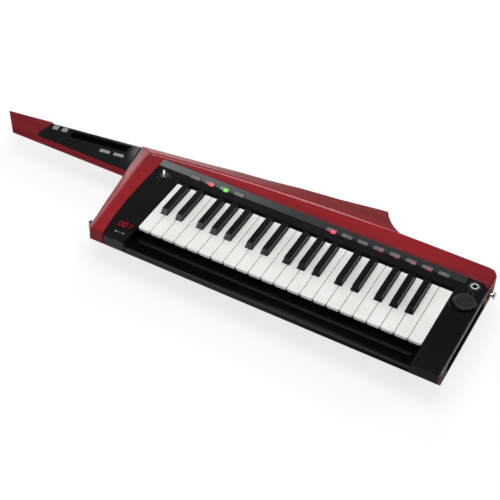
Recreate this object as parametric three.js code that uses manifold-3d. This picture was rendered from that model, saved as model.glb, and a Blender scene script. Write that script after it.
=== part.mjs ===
import * as THREE from 'three';
import { mergeVertices } from 'three/addons/utils/BufferGeometryUtils.js';
import Module from 'manifold-3d';

// A keytar: a shoulder-strap keyboard with 37 slim keys, a red lacquered wooden body with a long
// neck and a pointed horn, and a black control panel. Sizes are millimetres. While the pieces are
// made, X runs along the keyboard from the left side of the lowest key, Y runs back from the front
// of the white keys, and Z runs up from the tops of the white keys.

const wasm = await Module();
wasm.setup();

// Keyboard
const whitePitch = 20.4;
const whiteCount = 22;
const keySpacing = 0.9;
const whiteLength = 110.4;
const whiteLip = 5;
const whiteDepth = 11;
const whiteCorner = 1.8;
const lipRun = 13;
const blackWidth = 11;
const blackTaper = 0.8;
const blackFront = 42.5;
const blackSlope = 4.5;
const blackHeight = 8;
const blackSetback = 2.4;
const blackDepth = 9;
const blackShell = 1.7;
const blackClearance = 0.8;
const tailTop = 3.6;
const tailBottom = 12;
const tailReach = 15.6;
const tailOverlap = 3;

// Running gap between a piece and what carries it
const gap = 0.3;
const overrun = 6;

// Body outline, taken at the level of its upper rim
const frontApron = 39;
const frontLean = 2.8;
const cornerFoot = 1;
const cornerInset = 10.4;
const leftFront = 66.4;
const leftFrontSetback = 10.5;
const hipFlare = 4;
const leftHipBack = 2;
const bendFlare = 13.9;
const leftBendDepth = 74.7;
const backFlare = 17.2;
const backRise = 13.4;
const hornReach = 300;
const hornDepth = 224.4;
const hornRoot = 338;
const hornCurveDepth = 196;
const hornCurveReach = 313;
const rightBackDepth = 181.6;
const backCornerRadius = 17;
const frontCornerRadius = 7;
const slabDepth = 46;
const sideDrop = 28;
const sideDropRight = 40;
const undercut = 11;
const bellyFront = 14;
const waistRun = 14;

// Ridge along the back and the left of the body, and how far the bevel outside it falls
const rimDrop = 10;
const rimDropFront = 5;
const ridgeFrontInset = 7.9;
const ridgeBackInset = 24.9;
const ridgeTurn = 15.4;
const ridgeBackLeft = 57;
const ridgeMargin = 7.6;
const ridgeRightDepth = 181;
const ridgeRightReach = 345;

// Neck
const neckTipFront = 303.4;
const neckTipRake = 34.2;
const neckFrontDepth = 98.4;
const neckTipSpan = 36.6;
const neckFacetRun = 8.4;
const neckFacetDrop = 7;
const neckThickness = 22;
const neckFrontUndercut = 18;
const neckUndercut = 7;
const neckRoot = 64;

// Neck panel
const neckTipSolid = 46.4;
const neckPanelPointReach = 5.8;
const neckPanelPointRun = 6;
const neckPanelTopInset = 0.6;
const neckPanelThickness = 10;
const neckPanelSkin = 2.6;
const neckPanelRim = 3;
const neckRoll = 5;
const neckRollDrop = 1.6;
const neckEdgeDrop = 5;

// Neck ribbon controller and neck buttons
const neckRibbonSetback = 41.5;
const neckRibbonEnd = 14;
const neckRibbonWidth = 14.6;
const neckRibbonInset = 8.6;
const neckRibbonRecess = 4.2;
const neckRibbonThickness = 1.2;
const squareCap = 9.4;
const squareCapSetback = 11.8;
const squareCapPitch = 16;
const squareCapInset = 11.6;
const barCapWidth = 17;
const barCapDepth = 6;
const barCapEnd = 5.1;
const barCapPitch = 23.8;
const barCapSpacing = 9.3;
const neckCapProud = 1.6;
const neckCapStem = 5.2;

// Top panel
const panelSkin = 2.5;
const panelSide = 47.4;
const panelFrontSide = 34;
const panelBendDepth = 74;
const panelBendSide = 46;
const panelRightRim = 3.2;
const panelCorner = 12;
const keySlotMargin = 0.7;
const keySlotClearance = 0.6;
const cheekWall = 2.5;
const stripMargin = 2.5;
const stripDepth = 13.3;
const stripRise = 1.4;
const stripJackSpacing = 3.9;
const railDrop = 10;
const railSkin = 3;
const railFoot = 1.4;
const railBack = 8;
const railChamfer = 3.5;
const ribbonFront = 17.9;
const ribbonBack = 12.6;
const ribbonGroove = 1.2;
const ribbonThickness = 1.6;
const ribbonLeft = 11;
const ribbonRightMargin = 8;
const railChannelWidth = 5.9;
const railChannelDepth = 1.6;

// Rear rows of buttons
const capWidth = 16.6;
const capDepth = 6.6;
const capInset = 2;
const capProud = 0.9;
const capStem = 4.4;
const programLastMargin = 23.7;
const programPitch = 25.3;
const programCount = 8;
const functionFirst = 16.8;
const functionPitch = 25.5;
const functionCount = 4;
const barDepth = 4;
const barThickness = 1.6;

// Display
const displayLeft = 29.5;
const displayRight = 3.6;
const displayFront = 13;
const displayBack = 4;
const displayThickness = 1.2;

// Volume knob, value dial and phones jack
const knobX = 26.2;
const knobSetback = 19.3;
const knobSkirt = 7;
const knobSkirtHeight = 2;
const knobBody = 5.2;
const knobHeight = 3.2;
const knobPointerWidth = 4.4;
const knobPointerLength = 9.8;
const knobPointerHeight = 9;
const knobPointerBase = 1.4;
const knobShaft = 3;
const knobShaftLength = 9;
const knobTurnDeg = 30;
const dialRadius = 17.6;
const dialKeyMargin = 3.6;
const dialRim = 4.4;
const dialClearance = 0.8;
const dialJackSpacing = 34.6;
const dialProud = 2.6;
const dialChamfer = 1.6;
const dialWellDepth = 2.2;
const dialWellWall = 1.2;
const dialShaft = 4;
const jackOffset = 1.6;
const jackBackMargin = 12.8;
const jackCollar = 9.7;
const jackCollarHeight = 0.9;
const jackNut = 7;
const jackNutHeight = 1.9;
const jackBore = 3.4;
const jackBarrel = 6;
const jackLength = 24;
const jackBoreDepth = 20;

// Inside
const tubFront = 6;
const tailRoom = 5;
const tubLeft = 26;
const tubRightWall = 22;
const tubDepth = 26;
const lowerTubFront = 24;
const chassisThickness = 2;
const chassisSide = 8.7;
const hingeReach = 9.6;
const chassisRailMargin = 2;
const chassisLip = 3;
const chassisLipDrop = 20;
const contactSetback = 20;
const contactDepth = 48;
const boardThickness = 1.6;
const boardPost = 2.1;
const boardPostRadius = 3;
const boardFrontMargin = 16;
const boardBackMargin = 13;
const mainBoardLeft = 10;
const boardBaySpacing = 26;

// Back cover with its battery bay
const coverDepth = 8;
const coverWall = 2.6;
const coverTaper = 7;
const coverMargin = 6;
const coverCorner = 12;
const bayWidth = 128;
const bayLength = 62;
const bayHeight = 17;
const bayLeft = 236;
const bayFront = 46;
const doorThickness = 2.4;
const doorLip = 4;

// Connector bay in the right end
const sideBayFront = 12;
const sideBayJackGap = 10;
const sideBayDepth = 11;
const sideBayTop = 5.5;
const sideBayBottom = 23;
const sideBaySlant = 12;
const sideBayLip = 2.5;
const sideBayLipTop = 3;
const plateMargin = 5;
const plateThickness = 13;
const plateInset = 1.2;
const socketDepth = 10.5;
const bigSocket = 7.2;
const jackSocket = 3.3;
const powerSocket = 3.1;
const usbWidth = 12;
const usbHeight = 11;
const socketEnd = 9;

// Strap pins
const pinHead = 6;
const pinHeadHeight = 2.6;
const pinNeck = 3;
const pinLength = 9.8;
const pinWasher = 7.2;
const pinWasherHeight = 1.4;
const rightPinDepth = 141;
const rightPinDrop = 9.6;
const leftPinDepth = 11.2;
const leftPinDrop = 19.4;

// Counts of facets
const roundFacets = 28;
const smallFacets = 16;
const arcFacets = 6;
const fewFacets = 4;

// Worked out from the sizes above: the keys, the panel and what stands on it
const keysWidth = whitePitch * whiteCount;
const blackLength = whiteLength - blackFront - blackSetback;
const tailEnd = whiteLength + tailReach;
const keySlotBack = whiteLength + keySlotClearance;
const tubBack = tailEnd + tailRoom;
const stripFront = tubBack + stripMargin;
const panelBackDepth = stripFront + stripDepth;
const capCentre = stripFront + capInset;
const programFirst = keysWidth - programLastMargin - programPitch * (programCount - 1);
const knobDepth = stripFront - knobSetback;
const jackDepth = panelBackDepth - jackBackMargin;
const dialDepth = jackDepth - dialJackSpacing;
const dialX = dialRadius + dialKeyMargin;
const dialWell = dialRadius + dialClearance;
const jackX = dialX + jackOffset;
const stripRight = keysWidth + jackX - jackCollar - stripJackSpacing;
const frontDrop = railDrop + railSkin + railFoot;
const railFrontEdge = frontApron - railChamfer;
const railChannelFront = ribbonFront + railChannelWidth;

// Worked out from the sizes above: the body and the neck
const rightWall = keysWidth + dialX + dialRadius + dialRim;
const panelRight = rightWall - panelRightRim;
const frontFoot = frontApron + frontLean;
const leftFrontBack = frontApron - leftFrontSetback;
const leftCorner = leftFront - cornerInset;
const leftHip = leftFront + hipFlare;
const leftBend = leftHip + bendFlare;
const backLeft = leftBend + backFlare;
const ridgeLeftFront = leftFront - ridgeFrontInset;
const ridgeLeftBack = backLeft - ridgeBackInset;
const ridgeBackDepth = panelBackDepth + ridgeMargin;
const ridgeTurnDepth = ridgeBackDepth - ridgeTurn;
const backLeftDepth = ridgeBackDepth + backRise;
const neckTipBack = neckTipFront + neckTipRake;
const neckTipBackDepth = neckFrontDepth + neckTipSpan;
const neckFacetDepth = neckFrontDepth + neckFacetRun;
const neckPanelLeft = neckTipFront - neckTipSolid;
const neckPanelPoint = neckPanelLeft + neckPanelPointReach;
const neckPanelPointDepth = neckFacetDepth + neckPanelPointRun;
const neckPanelTopLeft = neckPanelLeft - neckPanelTopInset;
const neckRibbonLeft = neckPanelLeft - neckRibbonSetback;
const neckRibbonRight = backLeft + neckRibbonEnd;
const neckRibbonLength = neckRibbonLeft - neckRibbonRight;
const backSlope = (hornDepth - neckTipBackDepth) / (hornReach + neckTipBack);

// Worked out from the sizes above: the inside
const floorZ = -slabDepth - coverDepth;
const sideBayBack = jackDepth - sideBayJackGap;
const chassisRailFront = whiteLength + hingeReach;
const chassisRailBack = tailEnd + chassisRailMargin;
const contactBack = chassisRailFront - contactSetback;
const contactFront = contactBack - contactDepth;
const mainBoardFront = lowerTubFront + boardFrontMargin;
const mainBoardBack = tubBack - boardBackMargin;
const mainBoardRight = bayLeft - boardBaySpacing;

const colours = {
  lacquer: [0x8f1c26, 0.12, 0.0],
  panel: [0x17181a, 0.35, 0.0],
  ivory: [0xe9e9e4, 0.3, 0.0],
  ebony: [0x141414, 0.2, 0.0],
  cover: [0x1d1d1f, 0.6, 0.0],
  cap: [0x8b9196, 0.5, 0.0],
  silver: [0xb4b8bb, 0.35, 0.4],
  chrome: [0xd9dadc, 0.1, 1.0],
  board: [0x1f4d2e, 0.5, 0.0],
  steel: [0x8d9093, 0.4, 0.9],
  window: [0x2a0508, 0.08, 0.0],
  strip: [0x3a3c3f, 0.2, 0.0],
};

const root = new THREE.Group();

function toSolid(geometry) {
  const plain = geometry.clone();
  plain.deleteAttribute('normal');
  plain.deleteAttribute('uv');
  const merged = mergeVertices(plain);
  const index = merged.index.array;
  const corners = [];
  for (let i = 0; i < index.length; i += 3) {
    const [a, b, c] = index.slice(i, i + 3);
    if (a !== b && b !== c && c !== a) corners.push(a, b, c);
  }
  const vertProperties = new Float32Array(merged.attributes.position.array);
  const triVerts = new Uint32Array(corners);
  return new wasm.Manifold(new wasm.Mesh({ numProp: 3, vertProperties, triVerts }));
}

function toGeometry(solid) {
  const mesh = solid.getMesh();
  const geometry = new THREE.BufferGeometry();
  const places = new Float32Array(mesh.vertProperties);
  geometry.setAttribute('position', new THREE.BufferAttribute(places, 3));
  geometry.setIndex(new THREE.BufferAttribute(new Uint32Array(mesh.triVerts), 1));
  geometry.computeVertexNormals();
  return geometry;
}

const join = (first, ...others) => others.reduce((sum, other) => sum.add(other), first);
const cut = (first, ...others) => others.reduce((rest, other) => rest.subtract(other), first);

function add(name, solid, look) {
  const [color, roughness, metalness] = colours[look];
  const material = new THREE.MeshStandardMaterial({ color, roughness, metalness });
  const mesh = new THREE.Mesh(toGeometry(solid), material);
  mesh.name = name;
  root.add(mesh);
}

// Area seen along the Z axis, positive when the outline runs anticlockwise
function outlineArea(points) {
  return points.reduce((sum, [x, y], i) => {
    const [nextX, nextY] = points[(i + 1) % points.length];
    return sum + (x * nextY - nextX * y) / 2;
  }, 0);
}

// Drops the axis that a ring faces most, so that its cap can be cut into triangles
function flatten(ring) {
  const normal = [0, 0, 0];
  ring.forEach((p, i) => {
    const q = ring[(i + 1) % ring.length];
    for (let k = 0; k < 3; k += 1) {
      const [u, v] = [(k + 1) % 3, (k + 2) % 3];
      normal[k] += (p[u] - q[u]) * (p[v] + q[v]);
    }
  });
  const sizes = normal.map(Math.abs);
  const axis = sizes.indexOf(Math.max(...sizes));
  return ring.map((p) => [p[(axis + 1) % 3], p[(axis + 2) % 3]]);
}

function capTriangles(ring) {
  const flat = flatten(ring);
  const turn = Math.sign(outlineArea(flat));
  const faces = THREE.ShapeUtils.triangulateShape(flat.map(([u, v]) => new THREE.Vector2(u, v)), []);
  return faces.map((face) => {
    const faceTurn = Math.sign(outlineArea(face.map((i) => flat[i])));
    return faceTurn === turn ? face : [...face].reverse();
  });
}

// A closed solid through a row of rings that all have the same number of [x, y, z] points
function loft(rings) {
  const triangles = [];
  const count = rings[0].length;
  for (let r = 0; r + 1 < rings.length; r += 1) {
    for (let i = 0; i < count; i += 1) {
      const j = (i + 1) % count;
      triangles.push([rings[r][i], rings[r][j], rings[r + 1][j]]);
      triangles.push([rings[r][i], rings[r + 1][j], rings[r + 1][i]]);
    }
  }
  const first = rings[0];
  const last = rings[rings.length - 1];
  capTriangles(first).forEach(([a, b, c]) => triangles.push([first[c], first[b], first[a]]));
  capTriangles(last).forEach(([a, b, c]) => triangles.push([last[a], last[b], last[c]]));
  const volume = triangles.reduce((sum, [a, b, c]) => {
    const cross = new THREE.Vector3(...b).cross(new THREE.Vector3(...c));
    return sum + new THREE.Vector3(...a).dot(cross);
  }, 0);
  const facing = volume < 0 ? triangles.map(([a, b, c]) => [a, c, b]) : triangles;
  const geometry = new THREE.BufferGeometry();
  geometry.setAttribute('position', new THREE.BufferAttribute(new Float32Array(facing.flat(2)), 3));
  return toSolid(geometry);
}

const level = (points, z) => points.map(([x, y]) => [x, y, z]);
const prism = (points, low, high) => loft([level(points, low), level(points, high)]);
const rectangle = (x0, x1, y0, y1) => [[x0, y0], [x1, y0], [x1, y1], [x0, y1]];
const box = (x0, x1, y0, y1, z0, z1) => prism(rectangle(x0, x1, y0, y1), z0, z1);

// An outline in the YZ plane, run along X
function bar(points, x0, x1) {
  return loft([points.map(([y, z]) => [x0, y, z]), points.map(([y, z]) => [x1, y, z])]);
}

function upright(x, y, low, high, radius, facets = roundFacets, topRadius = radius) {
  const geometry = new THREE.CylinderGeometry(topRadius, radius, high - low, facets);
  geometry.rotateX(Math.PI / 2);
  geometry.translate(x, y, (low + high) / 2);
  return toSolid(geometry);
}

function turned(profile, facets = roundFacets) {
  const points = profile.map(([radius, height]) => new THREE.Vector2(radius, height));
  const geometry = new THREE.LatheGeometry(points, facets);
  geometry.rotateX(Math.PI / 2);
  return toSolid(geometry);
}

function arc(cx, cy, radius, start, end, steps = arcFacets) {
  return Array.from({ length: steps + 1 }, (_, i) => {
    const angle = start + ((end - start) * i) / steps;
    return [cx + radius * Math.cos(angle), cy + radius * Math.sin(angle)];
  });
}

function curve(start, control, end, steps = arcFacets) {
  const path = new THREE.QuadraticBezierCurve(
    new THREE.Vector2(...start),
    new THREE.Vector2(...control),
    new THREE.Vector2(...end),
  );
  return path.getPoints(steps).map((p) => [p.x, p.y]);
}

const mix = (a, b, share) => a + (b - a) * share;
const backEdge = (x) => neckTipBackDepth + (x + neckTipBack) * backSlope;

// Body slab
const leftSide = [[-leftFront, -leftFrontBack], [-leftHip, -leftHipBack], [-leftBend, leftBendDepth],
  [-backLeft, backLeftDepth]];

function leftLine(y) {
  const found = leftSide.findIndex((point, i) => i > 0 && y < point[1]);
  const i = found < 0 ? leftSide.length - 1 : found;
  const [[x0, y0], [x1, y1]] = [leftSide[i - 1], leftSide[i]];
  return mix(x0, x1, (y - y0) / (y1 - y0));
}

function bodyOutline() {
  const front = frontCornerRadius;
  const back = backCornerRadius;
  return [
    [-leftCorner, -frontApron],
    ...arc(rightWall - front, front - frontApron, front, -Math.PI / 2, 0),
    ...arc(rightWall - back, rightBackDepth - back, back, 0, Math.PI / 2),
    ...curve([hornRoot, rightBackDepth], [hornCurveReach, hornCurveDepth], [hornReach, hornDepth]),
    ...[...leftSide].reverse(),
  ];
}

// The slab's side falls straight to its waist, then runs in under the body. At the front the waist
// is higher, and the belly starts further back.
function slab() {
  const outline = bodyOutline();
  const centreX = (rightWall - backLeft) / 2;
  const share = (y, run) => Math.min(1, (y + frontApron) / run);
  const waist = outline.map(([x, y]) => {
    const lean = mix(frontLean, 0, share(y, frontCornerRadius));
    const foot = x === -leftCorner ? cornerFoot : 0;
    const right = mix(sideDropRight, sideDrop, share(y, hornDepth + frontApron));
    const drop = mix(frontDrop, x < centreX ? sideDrop : right, share(y, waistRun));
    return [x, y - lean - foot, -drop];
  });
  const belly = outline.map(([x, y]) => {
    const inward = x < centreX ? undercut : -undercut;
    return [x + inward, Math.max(y - undercut, bellyFront), -slabDepth];
  });
  return loft([level(outline, 0), waist, belly]);
}

// The bevel outside the ridge runs up the left side, round the back corner and along the back. Its
// cutter reaches past the body's edge by this share of the bevel's width.
const bevelReachShare = 1.7;

function bevelCutter() {
  const station = (ridge, edge, drop) => {
    const x = mix(ridge[0], edge[0], bevelReachShare);
    const y = mix(ridge[1], edge[1], bevelReachShare);
    return [[...ridge, 0], [x, y, -drop * bevelReachShare], [x, y, overrun], [...ridge, overrun]];
  };
  const share = (y) => (y + frontApron) / (ridgeTurnDepth + frontApron);
  const leftRidge = (y) => mix(-ridgeLeftFront, -ridgeLeftBack, share(y));
  const leftDepths = [-frontApron - overrun, -leftHipBack, leftBendDepth, ridgeTurnDepth];
  const leftStations = leftDepths.map((y) => {
    const drop = mix(rimDropFront, rimDrop, share(y));
    return station([leftRidge(y), y], [leftLine(y), y], drop);
  });
  const corner = [-backLeft, backLeftDepth];
  const turn = curve(
    [leftRidge(ridgeTurnDepth), ridgeTurnDepth],
    [-ridgeLeftBack, ridgeBackDepth],
    [-ridgeBackLeft, ridgeBackDepth],
    fewFacets,
  ).slice(1, -1);
  const turnStations = turn.map((ridge) => station(ridge, corner, rimDrop));
  const ridgeShares = [[0, 0], [0.17, 0.33], [0.41, 0.63], [0.7, 0.87], [1, 1]];
  const backStations = ridgeShares.map(([along, rise]) => {
    const x = mix(-ridgeBackLeft, ridgeRightReach, along);
    const ridge = [x, mix(ridgeBackDepth, ridgeRightDepth, rise)];
    return station(ridge, [x, backEdge(x)], rimDrop);
  });
  return loft([...leftStations, ...turnStations, ...backStations]);
}

const neckTop = -rimDrop;

function neckBlank() {
  const tipSlope = (neckTipBack - neckTipFront) / (neckTipBackDepth - neckFrontDepth);
  const tipAt = (y) => -neckTipFront - (y - neckFrontDepth) * tipSlope;
  const rootBack = backEdge(-neckRoot) - neckUndercut;
  const ring = (front, inset, z) => [
    [tipAt(front) + inset, front, z],
    [-neckRoot, front, z],
    [-neckRoot, rootBack - inset, z],
    [-backLeft, backEdge(-backLeft) - inset, z],
    [-neckTipBack + inset, backEdge(-neckTipBack) - inset, z],
  ];
  return loft([
    ring(neckFacetDepth, 0, neckTop),
    ring(neckFrontDepth, 0, neckTop - neckFacetDrop),
    ring(neckFrontDepth + neckFrontUndercut, neckUndercut, neckTop - neckThickness),
  ]);
}

// Outline of the black neck panel; a margin makes the pocket that it drops into
function neckPanelOutline(margin, backReach) {
  const bodySide = (y) => leftLine(y) - gap - margin;
  const front = neckFacetDepth - margin;
  return [
    [-neckPanelLeft - margin, front],
    [bodySide(front) + margin * 2, front],
    [bodySide(backLeftDepth) + margin * 2, backEdge(-backLeft) + backReach],
    [-neckPanelTopLeft - margin, backEdge(-neckPanelTopLeft) + backReach],
    [-neckPanelPoint - margin, neckPanelPointDepth],
  ];
}

// Outline of the black top panel; a margin makes the pocket that it drops into
function panelOutline(margin, frontReach) {
  const side = panelSide + margin;
  const back = panelBackDepth + margin;
  const right = panelRight + margin;
  const bend = curve(
    [-side, panelBendDepth],
    [-panelBendSide - margin, 0],
    [-panelFrontSide - margin, -frontReach],
    fewFacets,
  );
  return [
    ...bend,
    [right, -frontReach],
    ...arc(right - panelCorner, back - panelCorner, panelCorner, 0, Math.PI / 2),
    [-side + gap, back],
  ];
}

// The bay in the right end has slanted ends in plan
function sideBay() {
  const outer = rightWall + overrun;
  const plan = (inner) => {
    const slant = (x) => (sideBaySlant * (rightWall - x)) / sideBayDepth - sideBayFront;
    const length = sideBayBack - sideBayFront;
    return [
      [inner, slant(inner)], [outer, slant(outer)],
      [outer, length - slant(outer)], [inner, length - slant(inner)],
    ];
  };
  return join(
    prism(plan(rightWall - sideBayDepth), -sideBayBottom, -sideBayTop),
    prism(plan(rightWall - sideBayLip), -sideBayTop - gap, -sideBayLipTop),
  );
}

const plateFront = sideBaySlant - sideBayFront + plateMargin;
const plateBack = sideBayBack - sideBaySlant - plateMargin;
const plateOuter = rightWall - sideBayDepth - plateInset;
const plateInner = plateOuter - plateThickness;
const plateTop = -sideBayTop - gap;
const plateBottom = -sideBayBottom + gap;
const tubRight = rightWall - tubRightWall;

function coverOutline(inset) {
  const left = -tubLeft - coverMargin + inset;
  const right = tubRight + coverMargin - inset;
  const front = lowerTubFront - coverMargin + inset;
  const back = tubBack + coverMargin - inset;
  const r = coverCorner;
  return [
    ...arc(left + r, front + r, r, Math.PI, 1.5 * Math.PI, fewFacets),
    ...arc(right - r, front + r, r, 1.5 * Math.PI, 2 * Math.PI, fewFacets),
    ...arc(right - r, back - r, r, 0, Math.PI / 2, fewFacets),
    ...arc(left + r, back - r, r, Math.PI / 2, Math.PI, fewFacets),
  ];
}

function woodBody() {
  const blank = join(cut(slab(), bevelCutter()), neckBlank());
  const upperTub = box(-tubLeft, tubRight, -tubFront, tubBack, -tubDepth, overrun);
  const lowerTub = box(-tubLeft, tubRight, lowerTubFront, tubBack, -slabDepth - overrun, -tubDepth + gap);
  const panelPocket = prism(panelOutline(gap, frontFoot + overrun), -panelSkin - gap, overrun);
  const apron = prism(panelOutline(gap, frontFoot + overrun), -frontDrop - gap, 0);
  const apronFront = box(-panelSide - overrun, panelRight + gap, -frontFoot - overrun, -tubFront + gap,
    -frontDrop - gap, overrun);
  const wing = box(keysWidth, panelRight + gap, 0, panelBackDepth, -tubDepth, overrun);
  const well = upright(keysWidth + dialX, dialDepth, -dialWellDepth - dialWellWall - gap, overrun,
    dialWell + dialWellWall + gap).intersect(wing);
  const jackWell = upright(keysWidth + jackX, jackDepth, -jackLength - gap, overrun, jackBarrel + gap * 2);
  const knobWell = upright(-knobX, knobDepth, -tubDepth, overrun, knobShaft + gap * 2, smallFacets);
  const rowWell = box(-tubLeft, tubRight, tubBack - gap, capCentre + capDepth, -tubDepth, overrun);
  const plateWindow = box(plateInner - gap, rightWall - sideBayDepth + gap, plateFront - gap,
    plateBack + gap, plateBottom - gap, -sideBayTop);
  const plateRoom = box(tubRight - gap, plateInner + gap, plateFront + plateMargin, plateBack - plateMargin,
    plateBottom + gap, plateTop - gap);
  const neckPocket = prism(neckPanelOutline(gap, overrun), neckTop - neckPanelThickness - gap,
    neckTop + overrun);
  return cut(blank, upperTub, lowerTub, panelPocket, apron.intersect(apronFront), well, jackWell, knobWell,
    rowWell, sideBay(), plateWindow, plateRoom, neckPocket);
}

const capCentres = (first, pitch, count) => Array.from({ length: count }, (_, i) => first + pitch * i);
const programCentres = capCentres(programFirst, programPitch, programCount);
const functionCentres = capCentres(functionFirst, functionPitch, functionCount);
const stripSlope = stripRise / (panelBackDepth - stripFront);
const stripHeight = (y) => (y - stripFront) * stripSlope;

function topPanel() {
  const slotLeft = -keySlotMargin;
  const slotRight = keysWidth + keySlotMargin;
  const plate = cut(
    prism(panelOutline(0, frontApron), -panelSkin, 0),
    box(slotLeft, slotRight, -frontApron - overrun, keySlotBack, -panelSkin - overrun, overrun),
  );
  const stripProfile = [[stripFront, -panelSkin / 2], [panelBackDepth + overrun, -panelSkin / 2],
    [panelBackDepth + overrun, stripHeight(panelBackDepth + overrun)], [stripFront, 0]];
  const strip = bar(stripProfile, -panelSide - overrun, stripRight)
    .intersect(prism(panelOutline(0, frontApron), -panelSkin, stripRise));
  const cheekFace = (x0, x1) => bar([
    [-frontApron, 0], [-frontFoot, -frontDrop],
    [-frontFoot + cheekWall, -frontDrop], [-frontApron + cheekWall, 0],
  ], x0, x1);
  const leftFace = cheekFace(-panelFrontSide, slotLeft);
  const rightFace = cheekFace(slotRight, panelRight);
  const railTop = -railDrop;
  const railBottom = railTop - railSkin;
  const sideWall = (x0) => box(x0, x0 + cheekWall, -frontApron - gap, keySlotBack, railBottom,
    -panelSkin / 2);
  const rail = bar([
    [-railBack, railTop], [-railBack, -frontDrop], [-railBack - cheekWall, -frontDrop],
    [-railBack - cheekWall, railBottom], [-railFrontEdge, railBottom], [-frontFoot + cheekWall, -frontDrop],
    [-frontFoot, -frontDrop], [-frontApron - gap, railTop - railSkin / 2], [-railFrontEdge, railTop],
  ], slotLeft - cheekWall / 2, slotRight + cheekWall / 2);
  const ribbonSlot = box(ribbonLeft - gap, slotRight - ribbonRightMargin + gap, -ribbonFront - gap,
    -ribbonBack + gap, railTop - ribbonGroove - gap, railTop + overrun);
  const channel = box(ribbonLeft - gap, slotRight - ribbonRightMargin + gap, -railChannelFront,
    -ribbonFront - gap * 3, railTop - railChannelDepth, railTop + overrun);
  const dialCup = upright(keysWidth + dialX, dialDepth, -dialWellDepth - dialWellWall, -panelSkin / 2,
    dialWell + dialWellWall).intersect(box(slotRight, panelRight, 0, panelBackDepth, -tubDepth, overrun));
  const body = join(plate, strip, leftFace, rightFace, sideWall(slotLeft - cheekWall),
    sideWall(slotRight), rail, dialCup);
  const capSlots = [...programCentres, ...functionCentres].map((x) => box(
    x - capWidth / 2 - gap, x + capWidth / 2 + gap,
    capCentre - capDepth / 2 - gap, capCentre + capDepth / 2 + gap,
    -panelSkin - overrun, stripRise + overrun,
  ));
  const displaySeat = box(-displayLeft - gap, -displayRight + gap, -displayFront - gap, displayBack + gap,
    -displayThickness - gap, overrun);
  const dialBore = upright(keysWidth + dialX, dialDepth, -dialWellDepth, overrun, dialWell);
  const dialPivot = upright(keysWidth + dialX, dialDepth, -dialWellDepth - overrun, 0,
    dialShaft + gap, smallFacets);
  const jackHole = upright(keysWidth + jackX, jackDepth, -panelSkin - overrun, overrun,
    jackBarrel + gap, smallFacets);
  const shaftHole = upright(-knobX, knobDepth, -panelSkin - overrun, overrun,
    knobShaft + gap * 2, smallFacets);
  return cut(body, ribbonSlot, channel, ...capSlots, displaySeat, dialBore, dialPivot, jackHole, shaftHole);
}

// Keys. A sharp stands off the gap behind its white key by a share of the pitch.
const sharpShiftShares = { c: -0.118, d: 0.118, f: -0.147, g: 0, a: 0.147 };
const letters = ['c', 'd', 'e', 'f', 'g', 'a', 'b'];
const letterOf = (white) => letters[white % letters.length];
const sharpCentre = (white) => (white + 1 + sharpShiftShares[letterOf(white)]) * whitePitch;
const hasSharp = (white) => white >= 0 && white + 1 < whiteCount && letterOf(white) in sharpShiftShares;

function whiteKey(white) {
  const left = white * whitePitch + keySpacing / 2;
  const right = (white + 1) * whitePitch - keySpacing / 2;
  const reach = blackWidth / 2 + blackClearance;
  const notch = blackFront - blackClearance;
  const rearLeft = hasSharp(white - 1) ? sharpCentre(white - 1) + reach : left;
  const rearRight = hasSharp(white) ? sharpCentre(white) - reach : right;
  const points = [
    [left + whiteCorner, 0], [right - whiteCorner, 0], [right, whiteCorner], [right, notch],
    [rearRight, notch], [rearRight, whiteLength], [rearLeft, whiteLength], [rearLeft, notch],
    [left, notch], [left, whiteCorner],
  ];
  const outline = points.filter(([x, y], i) => {
    const [px, py] = points[(i + points.length - 1) % points.length];
    return Math.hypot(x - px, y - py) > gap;
  });
  const head = cut(
    prism(outline, -whiteDepth, 0),
    box(left - overrun, right + overrun, -overrun, lipRun, -whiteDepth - overrun, -whiteLip),
  );
  const tail = box(rearLeft, rearRight, whiteLength - tailOverlap, tailEnd, -tailBottom, -tailTop);
  return join(head, tail);
}

function blackKey(white) {
  const centre = sharpCentre(white);
  const half = blackWidth / 2;
  const crown = half - blackTaper;
  const back = blackFront + blackLength;
  const foot = rectangle(centre - half, centre + half, blackFront, back);
  const top = rectangle(centre - crown, centre + crown, blackFront + blackSlope, back);
  const shell = cut(
    loft([level(foot, -blackDepth), level(foot, 0), level(top, blackHeight)]),
    box(centre - crown + blackShell, centre + crown - blackShell, blackFront + blackSlope,
      back - tailOverlap, -blackDepth - overrun, blackHeight - blackSlope),
  );
  const tail = box(centre - crown, centre + crown, back - tailOverlap, tailEnd, -tailBottom, -tailTop);
  return join(shell, tail);
}

function addKeys() {
  let number = 0;
  const label = () => {
    number += 1;
    return `key_${String(number).padStart(2, '0')}`;
  };
  for (let white = 0; white < whiteCount; white += 1) {
    const letter = letterOf(white);
    add(`${label()}_${letter}`, whiteKey(white), 'ivory');
    if (hasSharp(white)) add(`${label()}_${letter}_sharp`, blackKey(white), 'ebony');
  }
}

// Chassis that carries the keys: a tray with a rear rail under their tails
const chassisBottom = -tubDepth + gap;
const chassisTop = chassisBottom + chassisThickness;
const chassisLeft = -chassisSide;
const chassisRight = keysWidth + chassisSide;

function keyChassis() {
  const tray = box(chassisLeft, chassisRight, -tubFront + gap, tubBack - gap, chassisBottom, chassisTop);
  const rail = box(chassisLeft, chassisRight, chassisRailFront, chassisRailBack, chassisTop - gap,
    -tailBottom - gap);
  const lip = box(chassisLeft, chassisRight, -tubFront + gap, -tubFront + gap + chassisLip,
    chassisTop - gap, -chassisLipDrop);
  return join(tray, rail, lip);
}

const boardOnPosts = (x0, x1, y0, y1, foot) => {
  const bottom = foot + boardPost;
  const inset = boardPostRadius * 2;
  const corners = rectangle(x0 + inset, x1 - inset, y0 + inset, y1 - inset);
  const posts = corners.map(([x, y]) => upright(x, y, foot, bottom + gap, boardPostRadius, smallFacets));
  return join(box(x0, x1, y0, y1, bottom, bottom + boardThickness), ...posts);
};

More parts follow.
